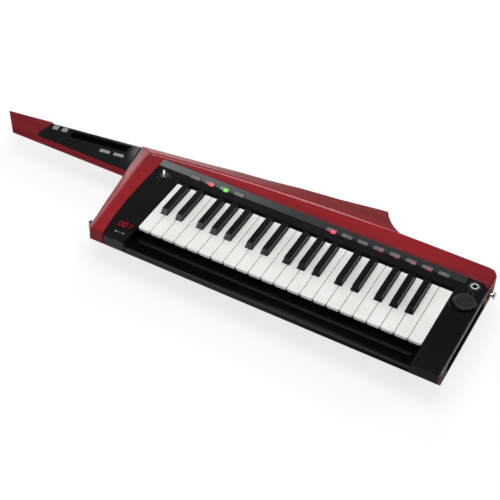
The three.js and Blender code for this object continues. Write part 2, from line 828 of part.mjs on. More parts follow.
// Back cover: a shallow pan under the body with a bay for the cells, closed by a door
const bayRight = bayLeft + bayWidth;
const bayBack = bayFront + bayLength;

function backCover() {
  const outer = loft([
    level(coverOutline(coverTaper), floorZ),
    level(coverOutline(0), -slabDepth - gap),
  ]);
  const hollow = loft([
    level(coverOutline(coverTaper + coverWall), floorZ + coverWall),
    level(coverOutline(coverWall), -slabDepth),
  ]);
  const tower = box(bayLeft - coverWall, bayRight + coverWall, bayFront - coverWall, bayBack + coverWall,
    floorZ + gap, floorZ + bayHeight + coverWall);
  const bay = box(bayLeft, bayRight, bayFront, bayBack, floorZ + doorThickness - gap, floorZ + bayHeight);
  const doorSeat = box(bayLeft - doorLip - gap, bayRight + doorLip + gap, bayFront - gap, bayBack + gap,
    floorZ - overrun, floorZ + doorThickness + gap);
  const ring = box(bayLeft - doorLip * 2, bayRight + doorLip * 2, bayFront - coverWall, bayBack + coverWall,
    floorZ + gap, floorZ + doorThickness + coverWall);
  return cut(join(cut(outer, hollow), ring, tower), bay, doorSeat);
}

function batteryDoor() {
  const panel = box(bayLeft - doorLip, bayRight + doorLip, bayFront, bayBack, floorZ,
    floorZ + doorThickness);
  const grip = box(bayLeft + doorLip * 2, bayLeft + doorLip * 3, bayFront + bayLength / 3,
    bayBack - bayLength / 3, floorZ - overrun, floorZ + doorThickness / 2);
  return cut(panel, grip);
}

// Row of button caps, each on a stem from one bar under the panel
function capRow(centres) {
  const low = -panelSkin - capStem;
  const half = capDepth / 2;
  const front = capCentre - half;
  const back = capCentre + half;
  const profile = [[front, low], [back, low], [back, stripHeight(back) + capProud],
    [front, stripHeight(front) + capProud]];
  const caps = centres.map((x) => bar(profile, x - capWidth / 2, x + capWidth / 2));
  const link = box(centres[0], centres[centres.length - 1], capCentre - barDepth / 2,
    capCentre + barDepth / 2, low, low + barThickness);
  return join(link, ...caps);
}

// Neck panel, its ribbon and its four buttons lie along the slanted back edge of the neck
const alongNeck = Math.atan(backSlope);

function onNeck(x, inset, width, depth, low, high) {
  const geometry = new THREE.BoxGeometry(width, depth, high - low);
  geometry.rotateZ(alongNeck);
  geometry.translate(x, backEdge(x) - inset, (low + high) / 2);
  return toSolid(geometry);
}

const ribbonMiddle = neckRibbonLength / 2 - neckRibbonLeft;
const ribbonInset = neckRibbonInset + neckRibbonWidth / 2;
const squareCapX = squareCapSetback - neckPanelLeft;
const barCapX = -neckRibbonRight - barCapEnd;
const barCapInset = neckRibbonInset + neckRibbonWidth + barCapSpacing + barCapDepth / 2;
const squareShape = { inset: squareCapInset, width: squareCap, depth: squareCap };
const barShape = { inset: barCapInset, width: barCapWidth, depth: barCapDepth };
const neckCaps = [
  { name: 'neck_button_a', x: squareCapX, ...squareShape },
  { name: 'neck_button_b', x: squareCapX + squareCapPitch, ...squareShape },
  { name: 'neck_switch_a', x: barCapX - barCapPitch, ...barShape },
  { name: 'neck_switch_b', x: barCapX, ...barShape },
];

function neckPanel() {
  const rolled = loft([
    level(neckPanelOutline(0, -neckRoll), neckTop),
    level(neckPanelOutline(0, -neckRollDrop), neckTop - neckRollDrop),
    level(neckPanelOutline(0, 0), neckTop - neckEdgeDrop),
    level(neckPanelOutline(0, 0), neckTop - neckPanelThickness),
  ]);
  const inside = prism(neckPanelOutline(-neckPanelRim, -neckPanelRim * 2),
    neckTop - neckPanelThickness - overrun, neckTop - neckPanelSkin - neckRibbonRecess);
  const recess = onNeck(ribbonMiddle, ribbonInset, neckRibbonLength, neckRibbonWidth,
    neckTop - neckRibbonRecess, neckTop + overrun);
  const slots = neckCaps.map(({ x, inset, width, depth }) => onNeck(x, inset, width + gap * 2,
    depth + gap * 2, neckTop - neckPanelThickness - overrun, neckTop + overrun));
  return cut(rolled, inside, recess, ...slots);
}

function neckCap({ x, inset, width, depth }) {
  return onNeck(x, inset, width, depth, neckTop - neckCapStem, neckTop + neckCapProud);
}

// Volume knob: a skirted cap with a raised pointer bar
function volumeKnob() {
  const cap = turned([
    [0, -knobShaftLength], [knobShaft, -knobShaftLength], [knobShaft, gap * 2], [knobSkirt, gap * 2],
    [knobSkirt, knobSkirtHeight], [knobBody, knobSkirtHeight + gap], [knobBody, knobHeight],
    [0, knobHeight],
  ]);
  const fin = prism([
    ...arc(0, knobPointerLength / 2 - knobPointerWidth / 2, knobPointerWidth / 2, 0, Math.PI),
    ...arc(0, knobPointerWidth / 2 - knobPointerLength / 2, knobPointerWidth / 2, Math.PI, 2 * Math.PI),
  ], knobPointerBase, knobPointerHeight);
  return join(cap, fin).rotate([0, 0, knobTurnDeg]).translate([-knobX, knobDepth, 0]);
}

function valueDial() {
  const low = gap - dialWellDepth;
  return turned([
    [0, low - dialWellWall], [dialShaft, low - dialWellWall], [dialShaft, low], [dialRadius, low],
    [dialRadius, dialProud - dialChamfer], [dialRadius - dialChamfer, dialProud], [0, dialProud],
  ], roundFacets + smallFacets).translate([keysWidth + dialX, dialDepth, 0]);
}

function phonesJack() {
  return turned([
    [0, -jackLength], [jackBarrel, -jackLength], [jackBarrel, gap], [jackCollar, gap],
    [jackCollar, jackCollarHeight], [jackNut, jackCollarHeight], [jackNut, jackNutHeight],
    [jackBore, jackNutHeight], [jackBore, jackNutHeight - jackBoreDepth],
    [0, jackNutHeight - jackBoreDepth],
  ]).translate([keysWidth + jackX, jackDepth, 0]);
}

// Connector plate with blind sockets that open to the right
function connectorPanel() {
  const middle = (plateTop + plateBottom) / 2;
  const centreY = (plateFront + plateBack) / 2;
  const socketPitch = (centreY - plateFront - socketEnd) / 2;
  const plate = box(plateInner, plateOuter, plateFront, plateBack, plateBottom, plateTop);
  const socket = (step, radius) => {
    const geometry = new THREE.CylinderGeometry(radius, radius, socketDepth + overrun, smallFacets);
    geometry.rotateZ(Math.PI / 2);
    geometry.translate(plateOuter - socketDepth / 2 + overrun / 2, centreY + step * socketPitch, middle);
    return toSolid(geometry);
  };
  const usbY = centreY + socketPitch;
  const usb = box(plateOuter - socketDepth, plateOuter + overrun, usbY - usbWidth / 2, usbY + usbWidth / 2,
    middle - usbHeight / 2, middle + usbHeight / 2);
  return cut(plate, socket(-2, jackSocket), socket(-1, jackSocket), socket(0, bigSocket),
    socket(2, powerSocket), usb);
}

// Strap pin with its washer; its axis is turned level, to leave the wall. The head's rings are given
// as shares of its radius and, from the top down, of its height.
const pinHeadShares = [[1, 1], [0.92, 0.33], [0.6, 0]];
const pinFlareShare = 1.5;

function strapPin(turnDeg, x, y, z) {
  const head = pinHeadShares.map(([wide, deep]) => [pinHead * wide, pinLength - pinHeadHeight * deep]);
  const profile = [
    [0, gap], [pinWasher, gap], [pinWasher, pinWasherHeight], [pinNeck, pinWasherHeight],
    [pinNeck, pinLength - pinHeadHeight * pinFlareShare], ...head, [0, pinLength],
  ];
  const pin = turned(profile, smallFacets + fewFacets);
  return pin.rotate([0, 90, 0]).rotate([0, 0, turnDeg]).translate([x, y, z]);
}

// Ribbon controllers and the display window
function frontRibbon() {
  const low = -railDrop - ribbonGroove;
  const right = keysWidth + keySlotMargin - ribbonRightMargin;
  return box(ribbonLeft, right, -ribbonFront, -ribbonBack, low, low + ribbonThickness);
}

function neckRibbon() {
  const low = neckTop - neckRibbonRecess + gap;
  return onNeck(ribbonMiddle, ribbonInset, neckRibbonLength - gap * 2, neckRibbonWidth - gap * 2,
    low, low + neckRibbonThickness);
}

const displayWindow = () => box(-displayLeft, -displayRight, -displayFront, displayBack,
  -displayThickness, 0);
const keyContactBoard = () => boardOnPosts(chassisLeft + overrun, chassisRight - overrun, contactFront,
  contactBack, chassisTop + gap);
const mainBoard = () => boardOnPosts(mainBoardLeft, mainBoardRight, mainBoardFront, mainBoardBack,
  floorZ + coverWall + gap);
const leftPinTurn = THREE.MathUtils.radToDeg(Math.atan2(-hipFlare, leftHipBack - leftFrontBack));
const leftStrapPin = () => strapPin(leftPinTurn, leftLine(-leftPinDepth), -leftPinDepth, -leftPinDrop);

add('wood_body', woodBody(), 'lacquer');
add('top_panel', topPanel(), 'panel');
add('neck_panel', neckPanel(), 'panel');
add('back_cover', backCover(), 'cover');
add('battery_door', batteryDoor(), 'cover');
addKeys();
add('key_chassis', keyChassis(), 'steel');
add('key_contact_board', keyContactBoard(), 'board');
add('main_board', mainBoard(), 'board');
add('front_ribbon', frontRibbon(), 'strip');
add('neck_ribbon', neckRibbon(), 'strip');
add('display_window', displayWindow(), 'window');
add('program_buttons', capRow(programCentres), 'cap');
add('function_buttons', capRow(functionCentres), 'cap');
neckCaps.forEach((cap) => add(cap.name, neckCap(cap), 'silver'));
add('volume_knob', volumeKnob(), 'ebony');
add('value_dial', valueDial(), 'panel');
add('phones_jack', phonesJack(), 'chrome');
add('connector_panel', connectorPanel(), 'panel');
add('strap_pin_right', strapPin(0, rightWall, rightPinDepth, -rightPinDrop), 'chrome');
add('strap_pin_left', leftStrapPin(), 'chrome');

// The part stands on its back cover, with its origin under the middle of its outer box
root.updateMatrixWorld(true);
const bounds = new THREE.Box3().setFromObject(root, true);
const middle = bounds.getCenter(new THREE.Vector3());
root.position.set(-middle.x, -middle.y, -bounds.min.z);

const keytar = new THREE.Group();
keytar.add(root);

export default keytar;
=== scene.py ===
import math
from functools import reduce

import bmesh
import bpy
from mathutils import Matrix, Vector


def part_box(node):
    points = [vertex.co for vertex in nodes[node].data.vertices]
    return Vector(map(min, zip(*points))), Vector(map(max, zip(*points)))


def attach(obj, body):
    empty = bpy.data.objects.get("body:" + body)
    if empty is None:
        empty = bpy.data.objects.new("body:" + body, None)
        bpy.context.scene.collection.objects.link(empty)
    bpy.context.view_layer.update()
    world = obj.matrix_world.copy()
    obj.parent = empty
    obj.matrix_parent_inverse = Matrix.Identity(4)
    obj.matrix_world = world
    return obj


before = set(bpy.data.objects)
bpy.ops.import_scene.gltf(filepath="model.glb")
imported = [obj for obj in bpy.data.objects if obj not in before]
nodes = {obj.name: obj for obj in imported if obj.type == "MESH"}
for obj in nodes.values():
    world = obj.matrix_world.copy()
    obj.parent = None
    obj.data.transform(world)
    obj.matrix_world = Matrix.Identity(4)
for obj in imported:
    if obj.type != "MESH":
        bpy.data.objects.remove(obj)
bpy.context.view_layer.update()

MM = 0.001

# The key frame: millimetres from the front left top corner of the first white key, as the CAD uses.
KEY_SIDE_GAP = 0.45
key_lo, key_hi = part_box("key_01_c")
ORIGIN = Vector((key_lo.x - KEY_SIDE_GAP * MM, key_lo.y, key_hi.z))


def at(x, y, z):
    """A point of the key frame, in metres in the row frame."""
    return ORIGIN + Vector((x, y, z)) * MM


# Places of the controls in the key frame, as in the CAD
KNOB_AT = (-26.2, 114.2)
KNOB_TURN = 30
DIAL_AT = (470.0, 99.4)
JACK_AT = (471.6, 134.0)

# Camera, fitted to the photograph
CAMERA_AT = (724.63, -1012.41, 1180.77)
CAMERA_LOOK = Vector((-0.33368161, 0.62748368, -0.70350609))
CAMERA_UP = Vector((-0.35412526, 0.60818367, 0.71042799))
CAMERA_RIGHT = Vector((0.87364288, 0.48618603, 0.01926811))
LENS_MM = 84.32
SENSOR_MM = 36.0


def make_camera():
    data = bpy.data.cameras.new("camera")
    data.sensor_width = SENSOR_MM
    data.sensor_fit = "HORIZONTAL"
    data.lens = LENS_MM
    data.clip_start = 0.05
    data.clip_end = 50
    camera = bpy.data.objects.new("camera", data)
    bpy.context.scene.collection.objects.link(camera)
    columns = (CAMERA_RIGHT, CAMERA_UP, -CAMERA_LOOK)
    turn = Matrix([[c[row] for c in columns] for row in range(3)])
    camera.matrix_world = Matrix.Translation(at(*CAMERA_AT)) @ turn.to_4x4()
    bpy.context.scene.camera = camera


# Values that the materials share
WHITE = (1, 1, 1, 1)
MICRON = 0.000001
# Where most of a noise's values lie
NOISE_LOW, NOISE_HIGH = 0.3, 0.7
# A Mix node's two inputs and its output, by data type
MIX_SOCKETS = {"RGBA": (6, 7, 2), "FLOAT": (2, 3, 0)}


# Materials
def srgb(r, g, b):
    def linear(v):
        v /= 255
        return v / 12.92 if v <= 0.04045 else ((v + 0.055) / 1.055) ** 2.4

    return (linear(r), linear(g), linear(b), 1)


def scaled_colour(colour, share):
    return tuple(min(1, v * share) for v in colour[:3]) + (1,)


def level(axis, value):
    """A place along one axis of the key frame, in the row frame's metres."""
    return ORIGIN["XYZ".index(axis)] + value * MM


class Graph:
    """A node tree. A value given to it is a number, a colour, a vector or another node's socket."""

    def __init__(self, tree):
        self.tree = tree

    def put(self, value, target):
        if hasattr(value, "is_output"):
            self.tree.links.new(value, target)
        else:
            target.default_value = value

    def node(self, kind, values=None, **settings):
        """values go to the inputs, by name or index, and settings are the node's own."""
        made = self.tree.nodes.new(kind)
        for name, value in settings.items():
            setattr(made, name, value)
        for key, value in (values or {}).items():
            self.put(value, made.inputs[key])
        return made

    def maths(self, operation, *values, kind="ShaderNodeMath"):
        return self.node(kind, dict(enumerate(values)), operation=operation).outputs["Value"]

    def vectors(self, operation, *values):
        return self.maths(operation, *values, kind="ShaderNodeVectorMath")

    def split(self, vector):
        return self.node("ShaderNodeSeparateXYZ", {0: vector}).outputs

    def both(self, *masks):
        return reduce(lambda first, second: self.maths("MULTIPLY", first, second), masks)

    def most(self, *masks):
        return reduce(lambda first, second: self.maths("MAXIMUM", first, second), masks)

    def steps(self, value, *stops):
        """A colour ramp over (position, colour) stops."""
        ramp = self.node("ShaderNodeValToRGB", {"Fac": value})
        elements = ramp.color_ramp.elements
        while len(elements) < len(stops):
            elements.new(0.5)
        for element, (position, colour) in zip(elements, stops):
            element.position = position
            element.color = colour
        return ramp.outputs["Color"]

    def mix(self, kind, mask, first, second, **settings):
        """Second where the mask is 1. The kind is RGBA or FLOAT."""
        a, b, out = MIX_SOCKETS[kind]
        values = {"Factor": mask, a: first, b: second}
        return self.node("ShaderNodeMix", values, data_type=kind, **settings).outputs[out]

    def mix_shader(self, mask, first, second):
        return self.node("ShaderNodeMixShader", {0: mask, 1: first, 2: second}).outputs["Shader"]


class Look(Graph):
    """One procedural material. The places of its pattern are the object's own coordinates, in metres."""

    def __init__(self, name, colour, roughness, metallic=0.0, specular=0.5):
        self.material = bpy.data.materials.new(name)
        self.material.use_nodes = True
        super().__init__(self.material.node_tree)
        self.shader = self.tree.nodes["Principled BSDF"]
        self.set(Base_Color=colour, Roughness=roughness, Metallic=metallic, Specular_IOR_Level=specular)
        self.place = self.node("ShaderNodeTexCoord").outputs["Object"]

    def set(self, **values):
        for name, value in values.items():
            self.put(value, self.shader.inputs[name.replace("_", " ")])
        return self

    def paint(self, colour):
        return self.set(Base_Color=colour)

    def matt(self, roughness):
        return self.set(Roughness=roughness)

    def bump(self, height, depth, strength=1.0):
        """The depth is in microns."""
        values = {"Height": height, "Distance": depth * MICRON, "Strength": strength}
        normal = self.node("ShaderNodeBump", values).outputs["Normal"]
        self.set(Normal=normal)
        if self.shader.inputs["Coat Weight"].default_value > 0:
            self.set(Coat_Normal=normal)
        return self

    def noise(self, scale, detail=4.0, stretch=(1, 1, 1), distortion=0.0):
        place = self.node("ShaderNodeMapping", {"Vector": self.place, "Scale": stretch}).outputs["Vector"]
        values = {"Vector": place, "Scale": scale, "Detail": detail, "Distortion": distortion}
        return self.node("ShaderNodeTexNoise", values).outputs["Fac"]

    def tint(self, value, dark, light, low=NOISE_LOW, high=NOISE_HIGH):
        """From dark at low to light at high, both sRGB from 0 to 255."""
        return self.steps(value, (low, srgb(*dark)), (high, srgb(*light)))

    def mapped(self, value, low, high, first, last, kind="SMOOTHSTEP"):
        """First at low and last at high, and the same beyond them."""
        values = {"Value": value, "From Min": low, "From Max": high, "To Min": first, "To Max": last}
        return self.node("ShaderNodeMapRange", values, interpolation_type=kind).outputs["Result"]

    def grey(self, value, low, high):
        return self.mapped(value, NOISE_LOW, NOISE_HIGH, low, high, "LINEAR")

    def fade(self, value, start, end):
        """0 at start and 1 at end, with a smooth change between."""
        if start < end:
            return self.mapped(value, start, end, 0, 1)
        return self.mapped(value, end, start, 1, 0)

    def axis(self, name):
        return self.split(self.place)[name]

    def above(self, name, limit):
        """1 where the coordinate is over the limit, in the key frame's millimetres."""
        return self.maths("GREATER_THAN", self.axis(name), level(name, limit))

    def below(self, name, limit):
        return self.maths("LESS_THAN", self.axis(name), level(name, limit))

    def box(self, **limits):
        """1 inside hard (least, most) limits along the axes of the key frame, where None is no limit."""
        tests = [self.above(name, least) for name, (least, _) in limits.items() if least is not None]
        tests += [self.below(name, most) for name, (_, most) in limits.items() if most is not None]
        return self.both(*tests)

    def zone(self, *limits):
        """The product of soft (axis, start, end) limits, each 0 at its start and 1 at its end."""
        return self.both(*(self.fade(self.axis(name), level(name, start), level(name, end))
                           for name, start, end in limits))

    def along(self, point, direction):
        """Metres from a point of the key frame along a direction."""
        reach = self.vectors("DOT_PRODUCT", self.place, direction)
        return self.maths("SUBTRACT", reach, at(*point).dot(Vector(direction)))

    def near(self, point, full, none):
        """1 closer to a point than full, 0 farther than none, in millimetres."""
        return self.fade(self.vectors("DISTANCE", self.place, at(*point)), none * MM, full * MM)

    def radius(self, x, y):
        """Distance from an upright axis, in metres."""
        flat = self.node("ShaderNodeCombineXYZ", {"X": self.axis("X"), "Y": self.axis("Y")})
        return self.vectors("DISTANCE", flat.outputs["Vector"], (level("X", x), level("Y", y), 0))

    def beyond(self, value, limit):
        return self.maths("GREATER_THAN", value, limit * MM)

    def square_on(self, start, end, least):
        """1 where the surface is seen square on, and least where it is seen edge on: gloss that fades."""
        return self.mapped(self.node("ShaderNodeLayerWeight").outputs["Facing"], start, end, 1, least)

    def not_under(self, least):
        """1 where the surface faces up or sideways, 0 on the underside."""
        normal = self.node("ShaderNodeNewGeometry").outputs["True Normal"]
        return self.maths("GREATER_THAN", self.split(normal)["Z"], least)

    def lights(self, places):
        """Glow round each (point, colour, full, none) place."""
        spots = [self.mix("RGBA", self.near(point, full, none), (0, 0, 0, 1), colour)
                 for point, colour, full, none in places]
        glow = reduce(lambda first, second: self.mix("RGBA", 1, first, second, blend_type="ADD"), spots)
        return self.set(Emission_Color=glow, Emission_Strength=1)


# Zones of the lacquered body in the key frame: hard (least, most) limits along the axes
# The key well and the connector bay, which are painted black as shade
KEY_WELL = {"X": (-26.8, 470.8), "Y": (-6.8, 142.6), "Z": (None, -2.6)}
CONNECTOR_BAY = {"X": (478.6, 491.7), "Y": (-12.6, 124.6), "Z": (-24, -2.9)}
# The same with soft limits, as (axis, place of 0, place of 1)
RIGHT_END = ("X", 360, 560)
NECK = ("X", -82, -96)
# A lighter painted sheen on the back of the neck tip
NECK_TIP_SHEEN = (("Y", 126, 144), ("X", -320, -285), ("X", -225, -255))
# Painted shade on the front left face
FRONT_LEFT_SHADE = (("Y", -30, -38), ("X", -30, -40))
# Painted shade behind the panel, in the back corner and on the slope beyond the ridge
SHADE_BEHIND_PANEL = (("Y", 146, 149), ("Y", 158, 149), ("X", -48, -30))
BACK_CORNER_SHADE = (("Y", 104, 138), ("X", -46, -60), ("Y", 150, 142), ("Y", 90, 170))
SHADE_BEYOND_RIDGE = ("X", -62, -30)
# The right end wall, a grey-brown mix of painted shade and painted reflection, and its lip, a painted
# highlight
END_WALL = (("X", 484.5, 488.0), ("Y", 141, 124))
END_LIP_HIGHLIGHT = ("Z", -2.6, -1.2)
END_WALL_MATT = ("Z", -2.0, -3.0)
TOP = -1
# A point of the ridge, the direction across it and away from the panel, and how far off the shade fades in
RIDGE_POINT = (11.3, 163.2, 0)
RIDGE_NORMAL = (-0.0533, 0.9986, 0)
RIDGE_FADE = (2.0 * MM, 15.0 * MM)
PATCHES_SHARE = 0.45
# Loss of gloss toward the rim, by Layer Weight's Facing: its start, its end and what is left
RIM = (0.68, 0.88, 0.12)
UNDERSIDE = -0.3


def lacquer():
    """Red stain under clear lacquer, with faint grain and darker ends. Painted shade darkens the front left
    face, the band behind the panel, the back corner and the slope beyond the ridge, and a lighter painted
    sheen lies on the back of the neck tip. The right end wall is a grey-brown mix of painted shade and
    painted reflection, with a painted highlight along its lip, and the key well and the connector bay are
    painted black as shade.
    """
    look = Look("lacquer", srgb(148, 28, 36), 0.34, specular=0.0)
    look.set(Coat_Weight=1.0, Coat_Roughness=0.06, Coat_IOR=1.35)
    grain = look.noise(55, 6, (0.16, 1, 1), 0.6)
    stops = (0.32, srgb(128, 31, 38)), (0.5, srgb(140, 36, 43)), (0.72, srgb(152, 42, 48))
    streaks = look.steps(grain, *stops)
    patches = look.tint(look.noise(11, 3), (134, 33, 40), (152, 40, 46), 0.35, 0.65)
    plain = look.mix("RGBA", PATCHES_SHARE, streaks, patches)
    deep = look.tint(grain, (106, 30, 36), (122, 36, 42), 0.32)
    shade = look.tint(grain, (112, 39, 43), (130, 47, 52), 0.32)
    # Painted shade and reflection for the right end wall, and a lighter painted highlight for its lip
    end_wall_shade = look.tint(grain, (76, 65, 63), (88, 77, 74))
    lip_highlight = look.tint(grain, (84, 76, 74), (96, 88, 85))
    top = look.above("Z", TOP)
    off_ridge = look.fade(look.along(RIDGE_POINT, RIDGE_NORMAL), *RIDGE_FADE)
    ridge_back_shade = look.both(off_ridge, look.zone(SHADE_BEYOND_RIDGE))
    front_left_shade = look.zone(*FRONT_LEFT_SHADE)
    end_wall = look.zone(*END_WALL)
    red = plain
    for mask, colour in (
        (look.most(look.zone(RIGHT_END), look.zone(NECK)), deep),
        # A lighter painted sheen on the back of the neck tip, over the darker neck
        (look.zone(*NECK_TIP_SHEEN), shade),
        # Painted shade on the front left face
        (front_left_shade, deep),
        # Painted shade behind the panel and on the slope beyond the ridge
        (look.most(look.both(look.zone(*SHADE_BEHIND_PANEL), top), ridge_back_shade), shade),
        # Painted shade in the back corner
        (look.both(look.zone(*BACK_CORNER_SHADE), top), shade),
        # The right end wall: painted shade and reflection, with a painted highlight along its lip
        (end_wall, look.mix("RGBA", look.zone(END_LIP_HIGHLIGHT), end_wall_shade, lip_highlight)),
    ):
        red = look.mix("RGBA", mask, red, colour)
    # The key well and the connector bay are painted black, as shade in these recesses
    well = look.both(look.box(**KEY_WELL), look.not_under(UNDERSIDE))
    recess_shade = look.most(well, look.box(**CONNECTOR_BAY))
    look.paint(look.mix("RGBA", recess_shade, red, srgb(13, 10, 10)))
    matt_wall = look.both(end_wall, look.zone(END_WALL_MATT))
    satin = look.mix("FLOAT", matt_wall, look.grey(grain, 0.28, 0.4), 0.55)
    look.matt(look.mix("FLOAT", recess_shade, satin, 0.8))
    coat = look.mix("FLOAT", matt_wall, look.mix("FLOAT", front_left_shade, 1.0, 0.3), 0.08)
    look.set(Coat_Weight=look.mix("FLOAT", recess_shade, look.both(coat, look.square_on(*RIM)), 0.0))
    look.bump(look.noise(260, 2), 30, 0.3)
    return look.material


# Zones of the black panel, as those of the body
PANEL_STRIP = {"Y": (133.6, None), "Z": (0.02, None)}
PANEL_FRONT = {"Y": (None, -35.7), "Z": (None, -0.2)}
PANEL_RAIL = {"X": (-0.8, 449.6), "Y": (-35.6, None), "Z": (None, -9.9)}
# Where the painted light on the strip and on the front faces fades, from left to right
STRIP_LIGHT_FADE = ("X", -60, 260)
FRONT_LIGHT_FADE = ("X", 60, 420)


def black_panel():
    """Satin black panel: the strip at the back is greyer, with painted light that makes it lighter to the
    left, the front faces have painted light that darkens to the right, and the sunken rail is glossier.
    """
    look = Look("black_panel", srgb(24, 25, 27), 0.26, specular=0.1)
    fine = look.noise(420, 2)
    wide = look.noise(14, 3)
    strip, rail = look.box(**PANEL_STRIP), look.box(**PANEL_RAIL)
    # The strip's grey holds painted light: lighter at the left, where the light falls, darker to the right
    near = look.tint(wide, (100, 105, 108), (107, 112, 115))
    far = look.tint(wide, (42, 45, 47), (48, 51, 53))
    grey = look.mix("RGBA", look.zone(STRIP_LIGHT_FADE), near, far)
    # Painted light on the front faces: lighter at the left, darker to the right
    front_painted_light = look.mix("RGBA", look.zone(FRONT_LIGHT_FADE), srgb(46, 46, 47), srgb(19, 19, 20))
    colour = look.mix("RGBA", strip, look.tint(wide, (17, 17, 18), (23, 23, 24)), grey)
    colour = look.mix("RGBA", look.box(**PANEL_FRONT), colour, front_painted_light)
    look.paint(look.mix("RGBA", rail, colour, srgb(4, 4, 5)))
    satin = look.mix("FLOAT", strip, look.grey(fine, 0.19, 0.22), 0.32)
    look.matt(look.mix("FLOAT", rail, satin, 0.16))
    look.bump(fine, 6, 0.12)
    return look.material


def even(name, colour, tints, satin, grain, **shader):
    """An even finish from three noises, which are given by their scale and detail first.

    tints goes on with the dark and the light colour, satin with the least and the most roughness, and grain
    with the bumps' depth in microns and their strength.
    """
    look = Look(name, srgb(*colour), satin[3], **shader)
    look.paint(look.tint(look.noise(*tints[:2]), *tints[2:]))
    look.matt(look.grey(look.noise(*satin[:2]), *satin[2:]))
    return look.bump(look.noise(*grain[:2]), *grain[2:])


def neck_black():
    return even("neck_black", (18, 19, 20), (16, 3, (15, 16, 17), (21, 22, 23)), (420, 2, 0.19, 0.22),
                (420, 2, 6, 0.12), specular=0.25).material


def ivory():
    return even("key_white", (236, 236, 232), (22, 3, (231, 231, 226), (239, 239, 235)),
                (300, 3, 0.17, 0.27), (500, 2, 8, 0.4)).material


def ebony():
    return even("key_black", (15, 15, 16), (40, 4, (12, 12, 13), (18, 18, 19)), (300, 3, 0.19, 0.22),
                (400, 2, 6, 0.2), specular=0.2).material


def silver_paint():
    return even("silver_paint", (150, 153, 155), (2600, 2, (136, 139, 141), (160, 163, 165), 0.35, 0.65),
                (2600, 2, 0.3, 0.42), (2600, 2, 5, 0.4), metallic=0.3).material


def display_glass():
    return even("display_glass", (22, 5, 7), (60, 2, (20, 5, 7), (27, 7, 9)), (120, 2, 0.06, 0.12),
                (90, 2, 4, 0.3)).material


def print_ink(name, tone):
    dark, light = (tone - 14, tone - 12, tone - 10), (tone + 12, tone + 14, tone + 16)
    return even(name, (tone, tone, tone), (1500, 2, dark, light), (1500, 2, 0.45, 0.6),
                (1500, 2, 4, 0.3)).material


def gloss_trim(name, colour, dark, light, satin, **shader):
    return even(name, colour, (900, 2, dark, light), (900, 2, *satin), (900, 2, 10, 0.3), **shader).material


def back_strip_look():
    return even("felt", (5, 5, 6), (2400, 4, (3, 3, 3), (8, 8, 9)), (2400, 4, 0.88, 1.0),
                (2400, 4, 100, 0.8), specular=0.05).material


def smoky_cap(name, colour, places):
    """Milky button cap, with the lamps under it shining through."""
    dark, light = tuple(v - 9 for v in colour), tuple(v + 9 for v in colour)
    look = even(name, colour, (130, 3, dark, light), (400, 2, 0.28, 0.42), (600, 2, 10, 0.4))
    return look.lights(places).material


def moulded(name, colour, roughness=0.6, grain=650, depth=60):
    """Textured moulded plastic."""
    look = Look(name, colour, roughness, specular=0.35)
    stops = (NOISE_LOW, scaled_colour(colour, 0.8)), (NOISE_HIGH, scaled_colour(colour, 1.25))
    look.paint(look.steps(look.noise(30, 4), *stops))
    look.matt(look.grey(look.noise(200, 3), roughness - 0.06, roughness + 0.06))
    cells = look.node("ShaderNodeTexVoronoi", {"Vector": look.place, "Scale": grain})
    return look.bump(cells.outputs["Distance"], depth, 0.6).material


def metal(name, colour, roughness):
    look = Look(name, colour, roughness, metallic=1.0)
    scratches = look.noise(90, 3)
    look.paint(look.steps(scratches, (NOISE_LOW, scaled_colour(colour, 0.86)), (NOISE_HIGH, colour)))
    look.matt(look.grey(scratches, roughness * 0.8, roughness * 1.3))
    return look.bump(scratches, 6, 0.4).material


def circuit_board():
    look = Look("circuit_board", srgb(24, 66, 38), 0.4)
    values = {"Vector": look.place, "Scale": 120, "Mortar Size": 0.06, "Mortar": srgb(66, 110, 56),
              "Color1": srgb(20, 60, 34), "Color2": srgb(27, 74, 42)}
    tracks = look.node("ShaderNodeTexBrick", values).outputs
    look.paint(tracks["Color"])
    look.matt(look.grey(look.noise(80, 3), 0.34, 0.46))
    return look.bump(tracks["Fac"], 30, 0.5).material


def touch_strip(name, colour, roughness, specular):
    """Smooth film of a ribbon controller, with fine lines across it."""
    look = Look(name, colour, roughness, specular=specular)
    values = {"Vector": look.place, "Scale": 160}
    lines = look.node("ShaderNodeTexWave", values, wave_type="BANDS", bands_direction="X").outputs["Fac"]
    look.paint(look.steps(lines, (0.2, colour), (0.8, scaled_colour(colour, 1.5))))
    look.matt(look.grey(look.noise(140, 3), roughness * 0.85, roughness * 1.2))
    return look.bump(lines, 10, 0.3).material


def glowing(name, colour, glow, strength):
    """A lens or a display segment that gives its own light."""
    look = Look(name, colour, 0.25)
    cloud = look.noise(700, 2)
    look.paint(look.steps(cloud, (NOISE_LOW, scaled_colour(colour, 0.85)), (NOISE_HIGH, colour)))
    look.matt(look.grey(cloud, 0.2, 0.32))
    look.set(Emission_Color=glow, Emission_Strength=strength)
    return look.bump(cloud, 10, 0.3).material


# The knob's ivory bar: half its width, and the height where it starts
KNOB_BAR_HALF = 1.6
KNOB_BAR_FROM = 3.35


def knob_black():
    """Black knob with an ivory bar down the middle of its grip."""
    look = Look("knob_black", srgb(20, 20, 21), 0.35)
    fine = look.noise(700, 3)
    body = look.tint(fine, (13, 13, 14), (22, 22, 23))
    bar = look.tint(fine, (222, 221, 212), (238, 237, 230))
    turn = math.radians(KNOB_TURN)
    off = look.maths("ABSOLUTE", look.along((*KNOB_AT, 0), (math.cos(turn), math.sin(turn), 0)))
    middle = look.maths("SUBTRACT", 1.0, look.beyond(off, KNOB_BAR_HALF))
    look.paint(look.mix("RGBA", look.both(look.above("Z", KNOB_BAR_FROM), middle), body, bar))
    look.matt(look.grey(fine, 0.3, 0.42))
    return look.bump(fine, 10, 0.5).material


DIAL_FACE = 16.0


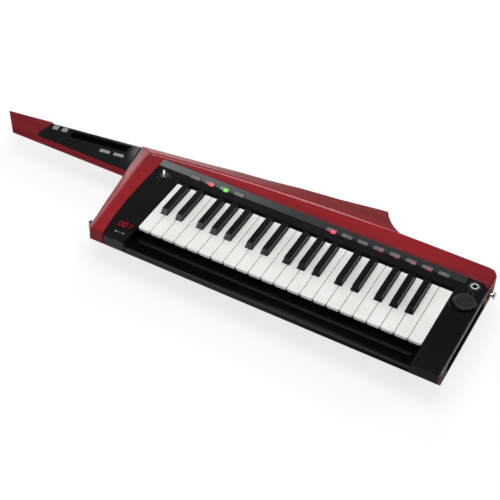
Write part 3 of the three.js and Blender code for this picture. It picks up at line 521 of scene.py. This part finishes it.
def dial_rubber():
    """Dial with a soft blue-grey top; its side is painted gloss black, as shade."""
    look = Look("dial_rubber", srgb(27, 29, 32), 0.42, specular=0.15)
    fine = look.noise(700, 3)
    # Past the top face, the side is painted gloss black as shade
    rim = look.beyond(look.radius(*DIAL_AT), DIAL_FACE)
    look.paint(look.mix("RGBA", rim, look.tint(fine, (24, 26, 28), (31, 33, 36)), srgb(7, 7, 8)))
    look.matt(look.mix("FLOAT", rim, look.grey(fine, 0.36, 0.5), 0.2))
    return look.bump(fine, 10, 0.3).material


# Radii of the socket's bore and nut, and the height above which the nut is bright
JACK_BORE, JACK_NUT, JACK_NUT_FROM = 3.5, 6.0, 0.2


def jack_metal():
    """Bright nut on a black collar, and a black bore."""
    look = Look("jack_metal", srgb(214, 215, 217), 0.38, metallic=1.0)
    spots = look.noise(300, 3)
    away = look.radius(*JACK_AT)
    within = look.maths("SUBTRACT", 1.0, look.beyond(away, JACK_NUT))
    nut = look.both(look.beyond(away, JACK_BORE), within, look.above("Z", JACK_NUT_FROM))
    look.paint(look.mix("RGBA", nut, srgb(10, 10, 11), look.tint(spots, (186, 187, 188), (206, 207, 208))))
    look.matt(look.mix("FLOAT", nut, 0.35, look.grey(spots, 0.34, 0.44)))
    look.set(Metallic=look.mix("FLOAT", nut, 0.0, 0.6))
    return look.bump(spots, 5, 0.3).material


PIN_FELT = 1.5


def strap_pin(name, centre, outward):
    """Chrome strap pin on a black felt washer: the felt is what lies near the wall."""
    look = Look(name, srgb(205, 206, 209), 0.12, metallic=1.0)
    felt = look.maths("LESS_THAN", look.along(centre, outward), PIN_FELT * MM)
    spots = look.noise(120, 2)
    fibres = look.noise(2200, 4)
    bright = look.tint(spots, (196, 197, 200), (214, 215, 218))
    look.paint(look.mix("RGBA", felt, bright, look.tint(fibres, (14, 14, 15), (34, 34, 36))))
    look.matt(look.mix("FLOAT", felt, look.grey(spots, 0.1, 0.2), 0.9))
    look.set(Metallic=look.mix("FLOAT", felt, 1.0, 0.0))
    return look.bump(fibres, 30, 0.15).material


# Edges of the CAD pieces: welded, rounded over a small width and shaded smooth below an angle
def edge_graph(name):
    """A new geometry group, and the socket that its shape comes in by."""
    group = bpy.data.node_groups.new(name, "GeometryNodeTree")
    for way in ("INPUT", "OUTPUT"):
        group.interface.new_socket("Geometry", in_out=way, socket_type="NodeSocketGeometry")
    graph = Graph(group)
    return graph, graph.node("NodeGroupInput").outputs[0]


def smoothing(degrees, drop_normals):
    name = f"smooth_{degrees}_{int(drop_normals)}"
    if name in bpy.data.node_groups:
        return bpy.data.node_groups[name]
    graph, shape = edge_graph(name)
    if drop_normals:
        values = {"Geometry": shape, "Name": "custom_normal"}
        shape = graph.node("GeometryNodeRemoveAttribute", values).outputs["Geometry"]
    faces = graph.node("GeometryNodeSetShadeSmooth", {"Geometry": shape}, domain="FACE").outputs["Geometry"]
    angle = graph.node("GeometryNodeInputMeshEdgeAngle").outputs["Unsigned Angle"]
    sharp = graph.maths("GREATER_THAN", angle, math.radians(degrees))
    values = {"Geometry": faces, "Selection": sharp, "Shade Smooth": False}
    edges = graph.node("GeometryNodeSetShadeSmooth", values, domain="EDGE").outputs["Geometry"]
    graph.node("NodeGroupOutput", {0: edges})
    return graph.tree


def chosen_edges(name, low, high, shortest, outside=(), within=()):
    """Marks edges for rounding: at low to high degrees, and longer than shortest, in millimetres.

    outside and within hold (axis, least, most) limits of the key frame. Edges inside all the outside limits
    stay sharp, and so do those past one of the within limits, where None is no limit.
    """
    graph, shape = edge_graph(name)
    maths = graph.maths
    angle = graph.node("GeometryNodeInputMeshEdgeAngle").outputs["Unsigned Angle"]
    ends = graph.node("GeometryNodeInputMeshEdgeVertices").outputs
    first, second = ends["Position 1"], ends["Position 2"]
    tests = [maths("GREATER_THAN", angle, math.radians(low)), maths("LESS_THAN", angle, math.radians(high)),
             maths("GREATER_THAN", graph.vectors("DISTANCE", first, second), shortest * MM)]
    one, two = graph.split(first), graph.split(second)
    inside = []
    for axis, least, most in outside:
        total = maths("ADD", one[axis], two[axis])
        inside.append(maths("GREATER_THAN", total, 2 * level(axis, least)))
        inside.append(maths("LESS_THAN", total, 2 * level(axis, most)))
    if inside:
        tests.append(maths("SUBTRACT", 1.0, graph.both(*inside)))
    for axis, least, most in within:
        if least is not None:
            tests.append(maths("GREATER_THAN", maths("MINIMUM", one[axis], two[axis]), level(axis, least)))
        if most is not None:
            tests.append(maths("LESS_THAN", maths("MAXIMUM", one[axis], two[axis]), level(axis, most)))
    values = {"Geometry": shape, "Name": "bevel_weight_edge", "Value": graph.both(*tests)}
    store = graph.node("GeometryNodeStoreNamedAttribute", values, data_type="FLOAT", domain="EDGE")
    graph.node("NodeGroupOutput", {0: store.outputs["Geometry"]})
    return graph.tree


WELD_GAP = 0.00001
# Degrees: edges under FLAT are dissolved, edges over ROUNDED get a rounding, and the others set the shading
FLAT, ROUNDED, SMOOTH_FIRST, SMOOTH_LAST = 0.6, 28, 30, 40
FACE_WEIGHT = 80


def rounding(obj, width, segments, choice=None):
    bevel = obj.modifiers.new("edge", "BEVEL")
    bevel.width = width * MM
    bevel.segments = segments
    if choice:
        marked = obj.modifiers.new("marked", "NODES")
        marked.node_group = choice
        obj.modifiers.move(len(obj.modifiers) - 1, len(obj.modifiers) - 2)
        bevel.limit_method = "WEIGHT"
        bevel.use_clamp_overlap = False
    else:
        bevel.limit_method = "ANGLE"
        bevel.angle_limit = math.radians(ROUNDED)
        bevel.use_clamp_overlap = True


def dress(name, material, *roundings):
    """Each rounding is a width in millimetres, its segments, and maybe a group that chooses the edges."""
    obj = nodes[name]
    obj.data.materials.clear()
    obj.data.materials.append(material)
    obj.modifiers.new("normals", "NODES").node_group = smoothing(SMOOTH_FIRST, True)
    obj.modifiers.new("weld", "WELD").merge_threshold = WELD_GAP
    flat = obj.modifiers.new("flat", "DECIMATE")
    flat.decimate_type = "DISSOLVE"
    flat.angle_limit = math.radians(FLAT)
    for one in roundings:
        rounding(obj, *one)
    obj.modifiers.new("shade", "NODES").node_group = smoothing(SMOOTH_LAST, False)
    weight = obj.modifiers.new("weight", "WEIGHTED_NORMAL")
    weight.keep_sharp = True
    weight.weight = FACE_WEIGHT


# Pieces that only the scene has
def piece(name, build, material, body, smooth=False):
    """build fills a bmesh whose points are in the row frame, in metres."""
    mesh = bpy.data.meshes.new(name)
    bm = bmesh.new()
    build(bm)
    bmesh.ops.recalc_face_normals(bm, faces=bm.faces)
    bm.to_mesh(mesh)
    bm.free()
    for polygon in mesh.polygons:
        polygon.use_smooth = smooth
    mesh.materials.append(material)
    obj = bpy.data.objects.new(name, mesh)
    bpy.context.scene.collection.objects.link(obj)
    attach(obj, body)


def stitch(bm, rows, closed=False):
    """Faces between each row of points and the next, and if closed from the last to the first."""
    count = len(rows[0])
    for first, second in zip(rows, rows[1:] + rows[:1] if closed else rows[1:]):
        for i in range(count):
            j = (i + 1) % count
            bm.faces.new((first[i], first[j], second[j], second[i]))


def solid(bm, rows):
    """A closed form over rows of points, from the bottom to the top."""
    stitch(bm, rows)
    bm.faces.new(rows[0][::-1])
    bm.faces.new(rows[-1])


def slab(bm, outline, low, high, inset=0.0, place=at):
    """A flat piece over an outline; inset draws the top in, as a small chamfer."""
    centre = [sum(p[k] for p in outline) / len(outline) for k in range(2)]

    def ring(z, pull):
        made = []
        for x, y in outline:
            dx, dy = x - centre[0], y - centre[1]
            size = math.hypot(dx, dy) or 1
            made.append(bm.verts.new(place(x - dx / size * pull, y - dy / size * pull, z)))
        return made

    levels = [(low, 0), (high - inset, 0), (high, inset)] if inset else [(low, 0), (high, 0)]
    solid(bm, [ring(*one) for one in levels])


def rounded(x0, x1, y0, y1, radius, steps=4):
    corners = ((x1 - radius, y0 + radius, -90), (x1 - radius, y1 - radius, 0),
               (x0 + radius, y1 - radius, 90), (x0 + radius, y0 + radius, 180))
    points = []
    for cx, cy, start in corners:
        for i in range(steps + 1):
            angle = math.radians(start + 90 * i / steps)
            points.append((cx + radius * math.cos(angle), cy + radius * math.sin(angle)))
    return points


def middled(x, y, half_width, half_depth, radius, steps=4):
    return rounded(x - half_width, x + half_width, y - half_depth, y + half_depth, radius, steps)


def ring_points(cx, cy, radius, steps):
    turns = [2 * math.pi * i / steps for i in range(steps)]
    return [(cx + radius * math.cos(turn), cy + radius * math.sin(turn)) for turn in turns]


def rings(bm, place, profile, steps=32):
    """Rows of points round an axis, over (radius, height) pairs."""
    return [[bm.verts.new(place(*p, height)) for p in ring_points(0, 0, radius, steps)]
            for radius, height in profile]


def frame_ring(bm, inner, outer, low, high, place):
    """A closed flat ring between two outlines with as many points."""
    levels = ((inner, low), (inner, high), (outer, high), (outer, low))
    stitch(bm, [[bm.verts.new(place(x, y, z)) for x, y in outline] for outline, z in levels], True)


# Lamps in the button caps
CAP_WIDTH = 16.6
CAP_DEPTH = 6.6
CAP_CORNER = 0.25
CAP_CENTRE = 135.5
CAP_PROUD = 0.9
STRIP_FRONT = 133.5
STRIP_SLOPE = 1.4 / 13.3
PROGRAM_CAPS = [248.0 + 25.3 * i for i in range(8)]
FUNCTION_CAPS = [16.8 + 25.5 * i for i in range(4)]
LAMP_SHIFT = 3.4
LAMP_HALF = 3.4
LAMP_CORNER = 0.9
LENS_FRONT, LENS_BACK = 130.4, 131.9
LENS_LOW, LENS_HIGH, LENS_CHAMFER = -0.5, 0.22, 0.15
RED_GLOW = (1.0, 0.035, 0.07, 1)
GREEN_GLOW = (0.16, 0.9, 0.08, 1)
FAINT_GLOW = (0.16, 0.006, 0.01, 1)
NO_GLOW = (0, 0, 0, 1)
PROGRAM_LIT = {0: RED_GLOW, 3: FAINT_GLOW, 4: FAINT_GLOW, 5: FAINT_GLOW, 6: FAINT_GLOW}
FUNCTION_LIT = {1: RED_GLOW, 2: GREEN_GLOW}
CAP_ROWS = (("program", PROGRAM_CAPS, PROGRAM_LIT), ("function", FUNCTION_CAPS, FUNCTION_LIT))
# Light in a cap: its place from the lamp, its share of the lamp's colour, and where it is full and gone
CAP_SPOTS = ((0.0, 133.0, 1.0, 1.6, 4.6), (-1.5, 135.0, 0.22, 3.0, 11.0))


def cap_glow(caps, lit):
    return [((caps[index] + LAMP_SHIFT + shift, y, CAP_PROUD), scaled_colour(colour, share), full, none)
            for index, colour in lit.items() for shift, y, share, full, none in CAP_SPOTS]


def make_lamps():
    looks = {
        NO_GLOW: glowing("lens_dark", srgb(30, 16, 18), NO_GLOW, 0.0),
        RED_GLOW: glowing("lens_red", srgb(200, 30, 45), RED_GLOW, 0.6),
        GREEN_GLOW: glowing("lens_green", srgb(70, 190, 50), GREEN_GLOW, 0.58),
        FAINT_GLOW: glowing("lens_faint", srgb(90, 14, 20), FAINT_GLOW, 0.5),
    }
    for row, caps, lit in CAP_ROWS:
        for index, cap_x in enumerate(caps):
            x = cap_x + LAMP_SHIFT

            def lens(bm):
                outline = rounded(x - LAMP_HALF, x + LAMP_HALF, LENS_FRONT, LENS_BACK, LAMP_CORNER)
                slab(bm, outline, LENS_LOW, LENS_HIGH, LENS_CHAMFER)

            piece(f"{row}_lamp_{index + 1}", lens, looks[lit.get(index, NO_GLOW)], "body")


# Painted shade: a gloss black ring round each button cap, for the dark gap round it. Its width, its gap
# from the cap, and the heights of these rings and of the dial well's
SHADE_RING_WIDTH = 0.75
SHADE_RING_GAP = 0.28
SHADE_RING_LOW, SHADE_RING_HIGH = -0.3, 0.12


def cap_outline(cap_x, grow):
    return middled(cap_x, CAP_CENTRE, CAP_WIDTH / 2 + grow, CAP_DEPTH / 2 + grow, CAP_CORNER + grow, 3)


def on_strip(x, y, z):
    """A place over the panel's rear strip, which slopes up to the back."""
    return at(x, y, max(0.0, (y - STRIP_FRONT) * STRIP_SLOPE) + z)


def make_cap_shade_rings():
    # A black ring of painted shade round each cap
    gloss = gloss_trim("cap_trim", (6, 6, 7), (4, 4, 5), (8, 8, 9), (0.26, 0.38), specular=0.1)
    for row, caps, _ in CAP_ROWS:

        def shade_rings(bm):
            for cap_x in caps:
                inner, outer = cap_outline(cap_x, SHADE_RING_GAP), cap_outline(cap_x, SHADE_RING_GAP + SHADE_RING_WIDTH)
                frame_ring(bm, inner, outer, SHADE_RING_LOW, SHADE_RING_HIGH, on_strip)

        piece(f"{row}_cap_trim", shade_rings, gloss, "body")


# A near-black strip behind the keys
FELT = (0.2, 448.6, 111.5, 118.0, 1.2)
FELT_LOW, FELT_HIGH, FELT_CHAMFER = -0.3, 0.1, 0.06


def make_key_back_strip():
    def strip(bm):
        slab(bm, rounded(*FELT), FELT_LOW, FELT_HIGH, FELT_CHAMFER)

    piece("key_back_strip", strip, back_strip_look(), "body")


# Display digits
DIGIT_CENTRES = (-25.4, -18.2, -11.0)
DIGIT_HALF = (2.25, 4.8)
DIGIT_MIDDLE = -5.4
DIGIT_LEAN = 0.1
DIGIT_LOW, DIGIT_HIGH = -0.25, 0.06
SEGMENT_HALF = 0.4
SEGMENT_GAP = 0.2
DIGIT_SEGMENTS = {"0": "abcdef", "1": "bc"}
SHOWN_DIGITS = "001"


def segment_outline(kind, cx):
    half_w, half_h = DIGIT_HALF
    t = SEGMENT_HALF
    flat = {"a": half_h, "g": 0, "d": -half_h}
    if kind in flat:
        y = flat[kind]
        x0, x1 = -half_w + SEGMENT_GAP, half_w - SEGMENT_GAP
        points = [(x0, y), (x0 + t, y - t), (x1 - t, y - t), (x1, y), (x1 - t, y + t), (x0 + t, y + t)]
    else:
        x = half_w if kind in "bc" else -half_w
        y0, y1 = (0, half_h) if kind in "bf" else (-half_h, 0)
        y0, y1 = y0 + SEGMENT_GAP, y1 - SEGMENT_GAP
        points = [(x, y0), (x + t, y0 + t), (x + t, y1 - t), (x, y1), (x - t, y1 - t), (x - t, y0 + t)]
    return [(cx + px + py * DIGIT_LEAN, DIGIT_MIDDLE + py) for px, py in points]


def make_display():
    lit = glowing("segment_on", srgb(120, 8, 12), (1.0, 0.012, 0.02, 1), 0.5)
    unlit = glowing("segment_off", srgb(34, 8, 10), (0.02, 0.0, 0.0, 1), 0.3)
    for index, (cx, digit) in enumerate(zip(DIGIT_CENTRES, SHOWN_DIGITS)):
        for state, material in (("on", lit), ("off", unlit)):
            kinds = [k for k in "abcdefg" if (k in DIGIT_SEGMENTS[digit]) == (state == "on")]

            def build(bm):
                for kind in kinds:
                    slab(bm, segment_outline(kind, cx), DIGIT_LOW, DIGIT_HIGH)

            piece(f"digit_{index + 1}_{state}", build, material, "body")


# Printed marks: plain ticks and dots
INK_LOW, INK_HIGH = -0.1, 0.03
# The inner and outer radius, the width and the angles of each set of ticks
VOLUME_TICKS = (8.9, 10.3, 0.45, [120 - 30 * i for i in range(11)])
DIAL_TICKS = (20.9, 22.6, 0.6, [80, 97, 210, 226])
DOT_SIZES = (1.05, 0.55, 0.55, 0.55, 0.75)
FIRST_DOT, DOT_PITCH = (-23.4, -22.6), (3.3, 0.1)


def tick_ring(name, centre, ticks, ink):
    inner, outer, width, angles = ticks

    def build(bm):
        for degrees in angles:
            a = math.radians(degrees)
            along = Vector((math.cos(a), math.sin(a)))
            across = Vector((-math.sin(a), math.cos(a))) * width / 2
            start, end = Vector(centre) + along * inner, Vector(centre) + along * outer
            ends = (start - across, end - across, end + across, start + across)
            slab(bm, [tuple(p) for p in ends], INK_LOW, INK_HIGH)

    piece(name, build, ink, "body")


def make_marks():
    grey = print_ink("ink_grey", 128)
    tick_ring("volume_ticks", KNOB_AT, VOLUME_TICKS, grey)
    tick_ring("dial_ticks", DIAL_AT, DIAL_TICKS, grey)

    def dots(bm):
        for i, size in enumerate(DOT_SIZES):
            x, y = (FIRST_DOT[k] + DOT_PITCH[k] * i for k in range(2))
            slab(bm, ring_points(x, y, size, 14), INK_LOW, INK_HIGH)

    piece("octave_dots", dots, print_ink("ink_white", 226), "body")


# The ring on the dial's top: its height, radius, half width and half height
RING_TOP, RING_RADIUS, RING_HALF = 2.6, 13.2, (0.45, 0.25)
# A black ring of painted shadow round the dial's well: its radii, and the end of the panel, which cuts it
# off
WELL_INNER, WELL_OUTER, WELL_RIGHT = 18.45, 19.7, 488.3
DIAL_STEPS, RING_STEPS = 96, 8


def make_dial_rings():
    def well(bm):
        def outline(radius):
            return [(min(x, WELL_RIGHT), y) for x, y in ring_points(*DIAL_AT, radius, DIAL_STEPS)]

        frame_ring(bm, outline(WELL_INNER), outline(WELL_OUTER), SHADE_RING_LOW, SHADE_RING_HIGH, at)

    def ring(bm):
        x, y = DIAL_AT
        turns = [2 * math.pi * k / RING_STEPS for k in range(RING_STEPS)]
        profile = [(RING_RADIUS + RING_HALF[0] * math.cos(b), RING_HALF[1] * math.sin(b)) for b in turns]
        stitch(bm, rings(bm, lambda u, v, w: at(x + u, y + v, RING_TOP + w), profile, DIAL_STEPS), True)

    # The ring round the well is painted shadow
    dark = gloss_trim("well_trim", (3, 3, 3), (2, 2, 2), (4, 4, 5), (0.5, 0.7), specular=0.1)
    grey = gloss_trim("dial_ring", (42, 46, 50), (38, 41, 45), (48, 52, 56), (0.24, 0.36))
    piece("dial_well_shade_ring", well, dark, "body")
    piece("dial_ring", ring, grey, "value_dial", smooth=True)


# Screws, and what sits in the sockets of the connector plate
PLATE_X = 479.8
SOCKET_Z = -14.25
JACK_SOCKETS = ((14.0, 3.3), (35.0, 3.3), (98.0, 3.1))
DIN_Y, DIN_RADIUS = 56.0, 7.2
USB_Y, USB_HALF, USB_WALL = 77.0, (5.95, 5.45), 0.5
PLATE_SCREWS = (8.6, 24.5, 103.4)
COVER_BOTTOM = -54.0
COVER_SCREWS = ((-12, 38), (-12, 117), (110, 38), (110, 117), (216, 117), (384, 117), (384, 38), (456, 38),
                (456, 117))
# Radius and height of each kind of screw head, and how deep it goes on into the piece
COVER_HEAD = (3.0, 0.5)
PLATE_HEAD = (1.7, 0.7)
HEAD_SUNK = -0.3
# (radius past the socket's, height) of the rings round the sockets
JACK_RING = ((-0.1, -2.0), (-0.1, 0.5), (0.9, 0.5), (1.2, 0.2), (1.2, -0.2), (0.0, -2.0))
DIN_RING = ((-0.15, -3.0), (-0.15, 0.25), (0.8, 0.25), (0.8, -0.2), (0.0, -3.0))
DIN_INSERT = ((-0.3, -10.0), (-0.3, -6.2), (-0.8, -6.0))
# (radius, height) of the pins
DIN_PIN = ((0.75, -6.3), (0.75, -2.4), (0.5, -2.0), (0.2, -1.8))
JACK_SPRING = ((0.7, -9.8), (0.7, -4.2), (0.4, -3.8))
POWER_PIN = ((0.85, -9.8), (0.85, -2.2), (0.5, -1.7))
DIN_PIN_CIRCLE = 4.6
USB_TONGUE = (-4.2, 4.2, -1.6, 3.2, 0.6)


def sideways(y, z=SOCKET_Z):
    """Places with their own flat on the connector plate: u along Y, v up, and w out of it, along +X."""
    return lambda u, v, w: at(PLATE_X + w, y + u, z + v)


def under(x, y):
    """Places with their own flat facing down, on the back cover."""
    return lambda u, v, w: at(x + u, y + v, COVER_BOTTOM - w)


def past(radius, profile):
    return [(radius + more, height) for more, height in profile]


def screw(bm, place, radius, height):
    """A pan head with a cross recess."""
    arm, reach, depth = radius * 0.13, radius * 0.55, height * 0.7
    cross = [(reach, -arm), (reach, arm), (arm, arm), (arm, reach), (-arm, reach), (-arm, arm),
             (-reach, arm), (-reach, -arm), (-arm, -arm), (-arm, -reach), (arm, -reach), (arm, -arm)]
    steps, rim_radius = 24, radius * 0.7
    shoulder = (radius * 0.9, height * 0.85)
    profile = ((radius, HEAD_SUNK), (radius, height * 0.45), shoulder, (rim_radius, height))
    rows = rings(bm, place, profile, steps)
    stitch(bm, rows)
    bm.faces.new(rows[0][::-1])
    top, base = [[bm.verts.new(place(x, y, z)) for x, y in cross] for z in (height, height - depth)]
    stitch(bm, [top, base])
    bm.faces.new(base)

    # Each point of the rim goes to the nearest corner of the cross
    def nearest(p):
        return min(range(12), key=lambda k: (cross[k][0] - p[0]) ** 2 + (cross[k][1] - p[1]) ** 2)

    order = [nearest(p) for p in ring_points(0, 0, rim_radius, steps)]
    for i in range(steps):
        j = (i + 1) % steps
        k = order[i]
        while k != order[j]:
            after = (k + 1) % 12
            bm.faces.new((rows[-1][i], top[after], top[k]))
            k = after
        bm.faces.new((rows[-1][i], rows[-1][j], top[k]))


def make_fasteners():
    steel = metal("screw_steel", srgb(70, 70, 72), 0.35)
    bright = metal("socket_metal", srgb(176, 177, 180), 0.28)

    def cover(bm):
        for x, y in COVER_SCREWS:
            screw(bm, under(x, y), *COVER_HEAD)

    def plate(bm):
        for y in PLATE_SCREWS:
            screw(bm, sideways(y), *PLATE_HEAD)

    def socket_rings(bm):
        for y, radius in JACK_SOCKETS:
            stitch(bm, rings(bm, sideways(y), past(radius, JACK_RING)), True)
        stitch(bm, rings(bm, sideways(DIN_Y), past(DIN_RADIUS, DIN_RING)), True)

    def inserts(bm):
        solid(bm, rings(bm, sideways(DIN_Y), past(DIN_RADIUS, DIN_INSERT)))
        slab(bm, rounded(*USB_TONGUE), -10.0, -1.4, 0.3, sideways(USB_Y))

    def pins(bm):
        for i in range(5):
            a = math.radians(45 * i)
            middle = sideways(DIN_Y + DIN_PIN_CIRCLE * math.cos(a), SOCKET_Z + DIN_PIN_CIRCLE * math.sin(a))
            solid(bm, rings(bm, middle, DIN_PIN, 12))
        for y, radius in JACK_SOCKETS[:2]:
            solid(bm, rings(bm, sideways(y, SOCKET_Z + radius - 0.9), JACK_SPRING, 12))
        solid(bm, rings(bm, sideways(JACK_SOCKETS[2][0]), POWER_PIN, 16))

    def shell(bm):
        inner = middled(0, 0, *(half - USB_WALL for half in USB_HALF), 1.0)
        frame_ring(bm, inner, middled(0, 0, *USB_HALF, 1.3), -9.5, 0.3, sideways(USB_Y))

    piece("back_cover_screws", cover, steel, "body")
    piece("connector_screws", plate, steel, "body")
    piece("socket_rings", socket_rings, bright, "body")
    piece("socket_inserts", inserts, moulded("socket_insert", srgb(20, 20, 21), 0.5, 900, 20), "body")
    piece("socket_pins", pins, bright, "body")
    piece("usb_shell", shell, bright, "body")


# Floor, lamps and world
FLOOR_SIZE = 14.0
FLOOR_GAP = 0.6
SHADOW_SHARE = 0.3
BACKDROP = 0.76


def grey_level(value):
    return (value, value, value, 1)


def make_stage():
    look = Look("floor_paper", grey_level(0.84), 0.9, specular=0.1)
    look.paint(look.steps(look.noise(3, 3), (NOISE_LOW, grey_level(0.83)), (NOISE_HIGH, grey_level(0.85))))
    mesh = bpy.data.meshes.new("floor")
    s, z = FLOOR_SIZE, -FLOOR_GAP * MM
    mesh.from_pydata([(-s, -s, z), (s, -s, z), (s, s, z), (-s, s, z)], [], [(0, 1, 2, 3)])
    mesh.materials.append(look.material)
    floor = bpy.data.objects.new("floor", mesh)
    bpy.context.scene.collection.objects.link(floor)

    path = look.node("ShaderNodeLightPath").outputs
    white = look.node("ShaderNodeEmission", {"Color": WHITE, "Strength": BACKDROP / (1 - SHADOW_SHARE)})
    seen = look.maths("MAXIMUM", path["Is Camera Ray"], path["Is Glossy Ray"])
    share = look.maths("MULTIPLY", seen, 1 - SHADOW_SHARE)
    shown = look.mix_shader(share, look.shader.outputs["BSDF"], white.outputs["Emission"])
    look.put(shown, look.tree.nodes["Material Output"].inputs["Surface"])


# The studio as reflections see it: sine of the elevation, and brightness
STUDIO = ((0.0, 0.65), (0.1, 0.6), (0.2, 0.18), (0.44, 0.15), (0.52, 0.05), (0.88, 0.05), (0.97, 0.3))
DAYLIGHT = 0.38
# Name, place, width, height and power of the soft lights, which face the middle of the keytar
LIGHTS = (
    ("top_box", (0.05, 0.1, 1.8), 1.7, 1.3, 18.0),
    ("front_box", (-1.15, -1.6, 0.42), 1.4, 0.5, 10.0),
    ("back_strip", (-0.36, 1.35, 0.86), 1.2, 0.26, 5.0),
    ("right_strip", (1.45, 1.15, 0.62), 0.9, 0.5, 7.0),
    ("left_strip", (-1.95, 1.25, 0.62), 1.2, 1.0, 4.0),
)
LIGHTS_AIM = Vector((0.0, 0.0, 0.05))


def make_lights():
    for name, place, width, height, power in LIGHTS:
        data = bpy.data.lights.new(name, "AREA")
        data.shape = "RECTANGLE"
        data.size, data.size_y = width, height
        data.energy = power
        obj = bpy.data.objects.new(name, data)
        bpy.context.scene.collection.objects.link(obj)
        obj.location = place
        obj.rotation_mode = "QUATERNION"
        obj.rotation_quaternion = (LIGHTS_AIM - Vector(place)).to_track_quat("-Z", "Y")


def make_world():
    world = bpy.data.worlds.new("studio")
    bpy.context.scene.world = world
    world.use_nodes = True
    world.node_tree.nodes.clear()
    graph = Graph(world.node_tree)
    path = graph.node("ShaderNodeLightPath").outputs
    height = graph.split(graph.node("ShaderNodeTexCoord").outputs["Generated"])["Z"]

    def background(colour, strength=1.0):
        values = {"Color": colour, "Strength": strength}
        return graph.node("ShaderNodeBackground", values).outputs["Background"]

    studio = graph.steps(height, *((sine, grey_level(value)) for sine, value in STUDIO))
    gloss = graph.mix_shader(path["Is Glossy Ray"], background(WHITE, DAYLIGHT), background(studio))
    seen = graph.maths("MAXIMUM", path["Is Camera Ray"], path["Is Transmission Ray"])
    graph.node("ShaderNodeOutputWorld", {"Surface": graph.mix_shader(seen, gloss, background(WHITE))})


# Edges of the body to round: the ridge, the front right bottom corner, the recess's lip and the outer edges
PANEL_AREA = (("X", -48.5, 489.5), ("Y", -43.0, 147.6))
RIDGE_EDGES = (("Z", -0.05, None),)
CORNER_EDGES = (("X", 490.8, None), ("Y", None, -41.0))
LIP_EDGES = (("X", 486.0, None), ("Z", -1.0, None))
PIN_RIGHT, PIN_LEFT = (492.0, 141.0, -9.6), (-69.0, -11.2, -19.4)

make_camera()
ridge = chosen_edges("ridge_edges", 8, 60, 2.0, within=RIDGE_EDGES)
corner_edge = chosen_edges("corner_edge", 60, 150, 6.0, within=CORNER_EDGES)
lip_edge = chosen_edges("lip_edge", 60, 150, 1.2, within=LIP_EDGES)
wood_edges = chosen_edges("wood_edges", 28, 150, 3.0, outside=PANEL_AREA)
fine_edges = chosen_edges("fine_edges", 28, 150, 1.2)
body_edges = ((4.5, 7, ridge), (4.0, 5, corner_edge), (1.6, 4, lip_edge), (1.0, 3, wood_edges))
dress("wood_body", lacquer(), *body_edges)
dress("top_panel", black_panel(), (0.3, 2, fine_edges))
dress("neck_panel", neck_black(), (0.35, 2, fine_edges))
dress("back_cover", moulded("back_plastic", srgb(30, 30, 31)), (0.7, 2, fine_edges))
dress("battery_door", moulded("door_plastic", srgb(34, 34, 35)), (0.4, 2))
white_key, black_key = ivory(), ebony()
for key in sorted(n for n in nodes if n.startswith("key_") and n[4].isdigit()):
    if key.endswith("_sharp"):
        dress(key, black_key, (0.7, 3))
    else:
        dress(key, white_key, (0.4, 2))
dress("key_chassis", moulded("chassis_steel", srgb(12, 12, 13), 0.6, 300, 30))
green_board = circuit_board()
dress("key_contact_board", green_board)
dress("main_board", green_board)
dress("front_ribbon", touch_strip("front_film", srgb(20, 20, 22), 0.3, 0.1), (0.25, 2))
dress("neck_ribbon", touch_strip("neck_film", srgb(2, 2, 3), 0.25, 0.01), (0.25, 2))
dress("display_window", display_glass(), (0.25, 2))
for (row, caps, lit), colour in zip(CAP_ROWS, ((88, 92, 96), (116, 107, 112))):
    dress(f"{row}_buttons", smoky_cap(f"{row}_cap", colour, cap_glow(caps, lit)), (0.35, 2))
silver = silver_paint()
for cap in ("neck_button_a", "neck_button_b", "neck_switch_a", "neck_switch_b"):
    dress(cap, silver, (0.5, 3))
dress("volume_knob", knob_black(), (0.3, 2))
dress("value_dial", dial_rubber(), (0.3, 2))
dress("phones_jack", jack_metal(), (0.2, 2))
dress("connector_panel", moulded("plate_plastic", srgb(16, 16, 17), 0.5, 900, 30), (0.25, 1, fine_edges))
dress("strap_pin_right", strap_pin("pin_chrome_right", PIN_RIGHT, (1, 0, 0)), (0.2, 2))
dress("strap_pin_left", strap_pin("pin_chrome_left", PIN_LEFT, (-0.989, -0.149, 0)), (0.2, 2))

make_lamps()
make_cap_shade_rings()
make_key_back_strip()
make_display()
make_marks()
make_dial_rings()
make_fasteners()
make_stage()
make_lights()
make_world()

bpy.context.scene.view_settings.view_transform = "Standard"
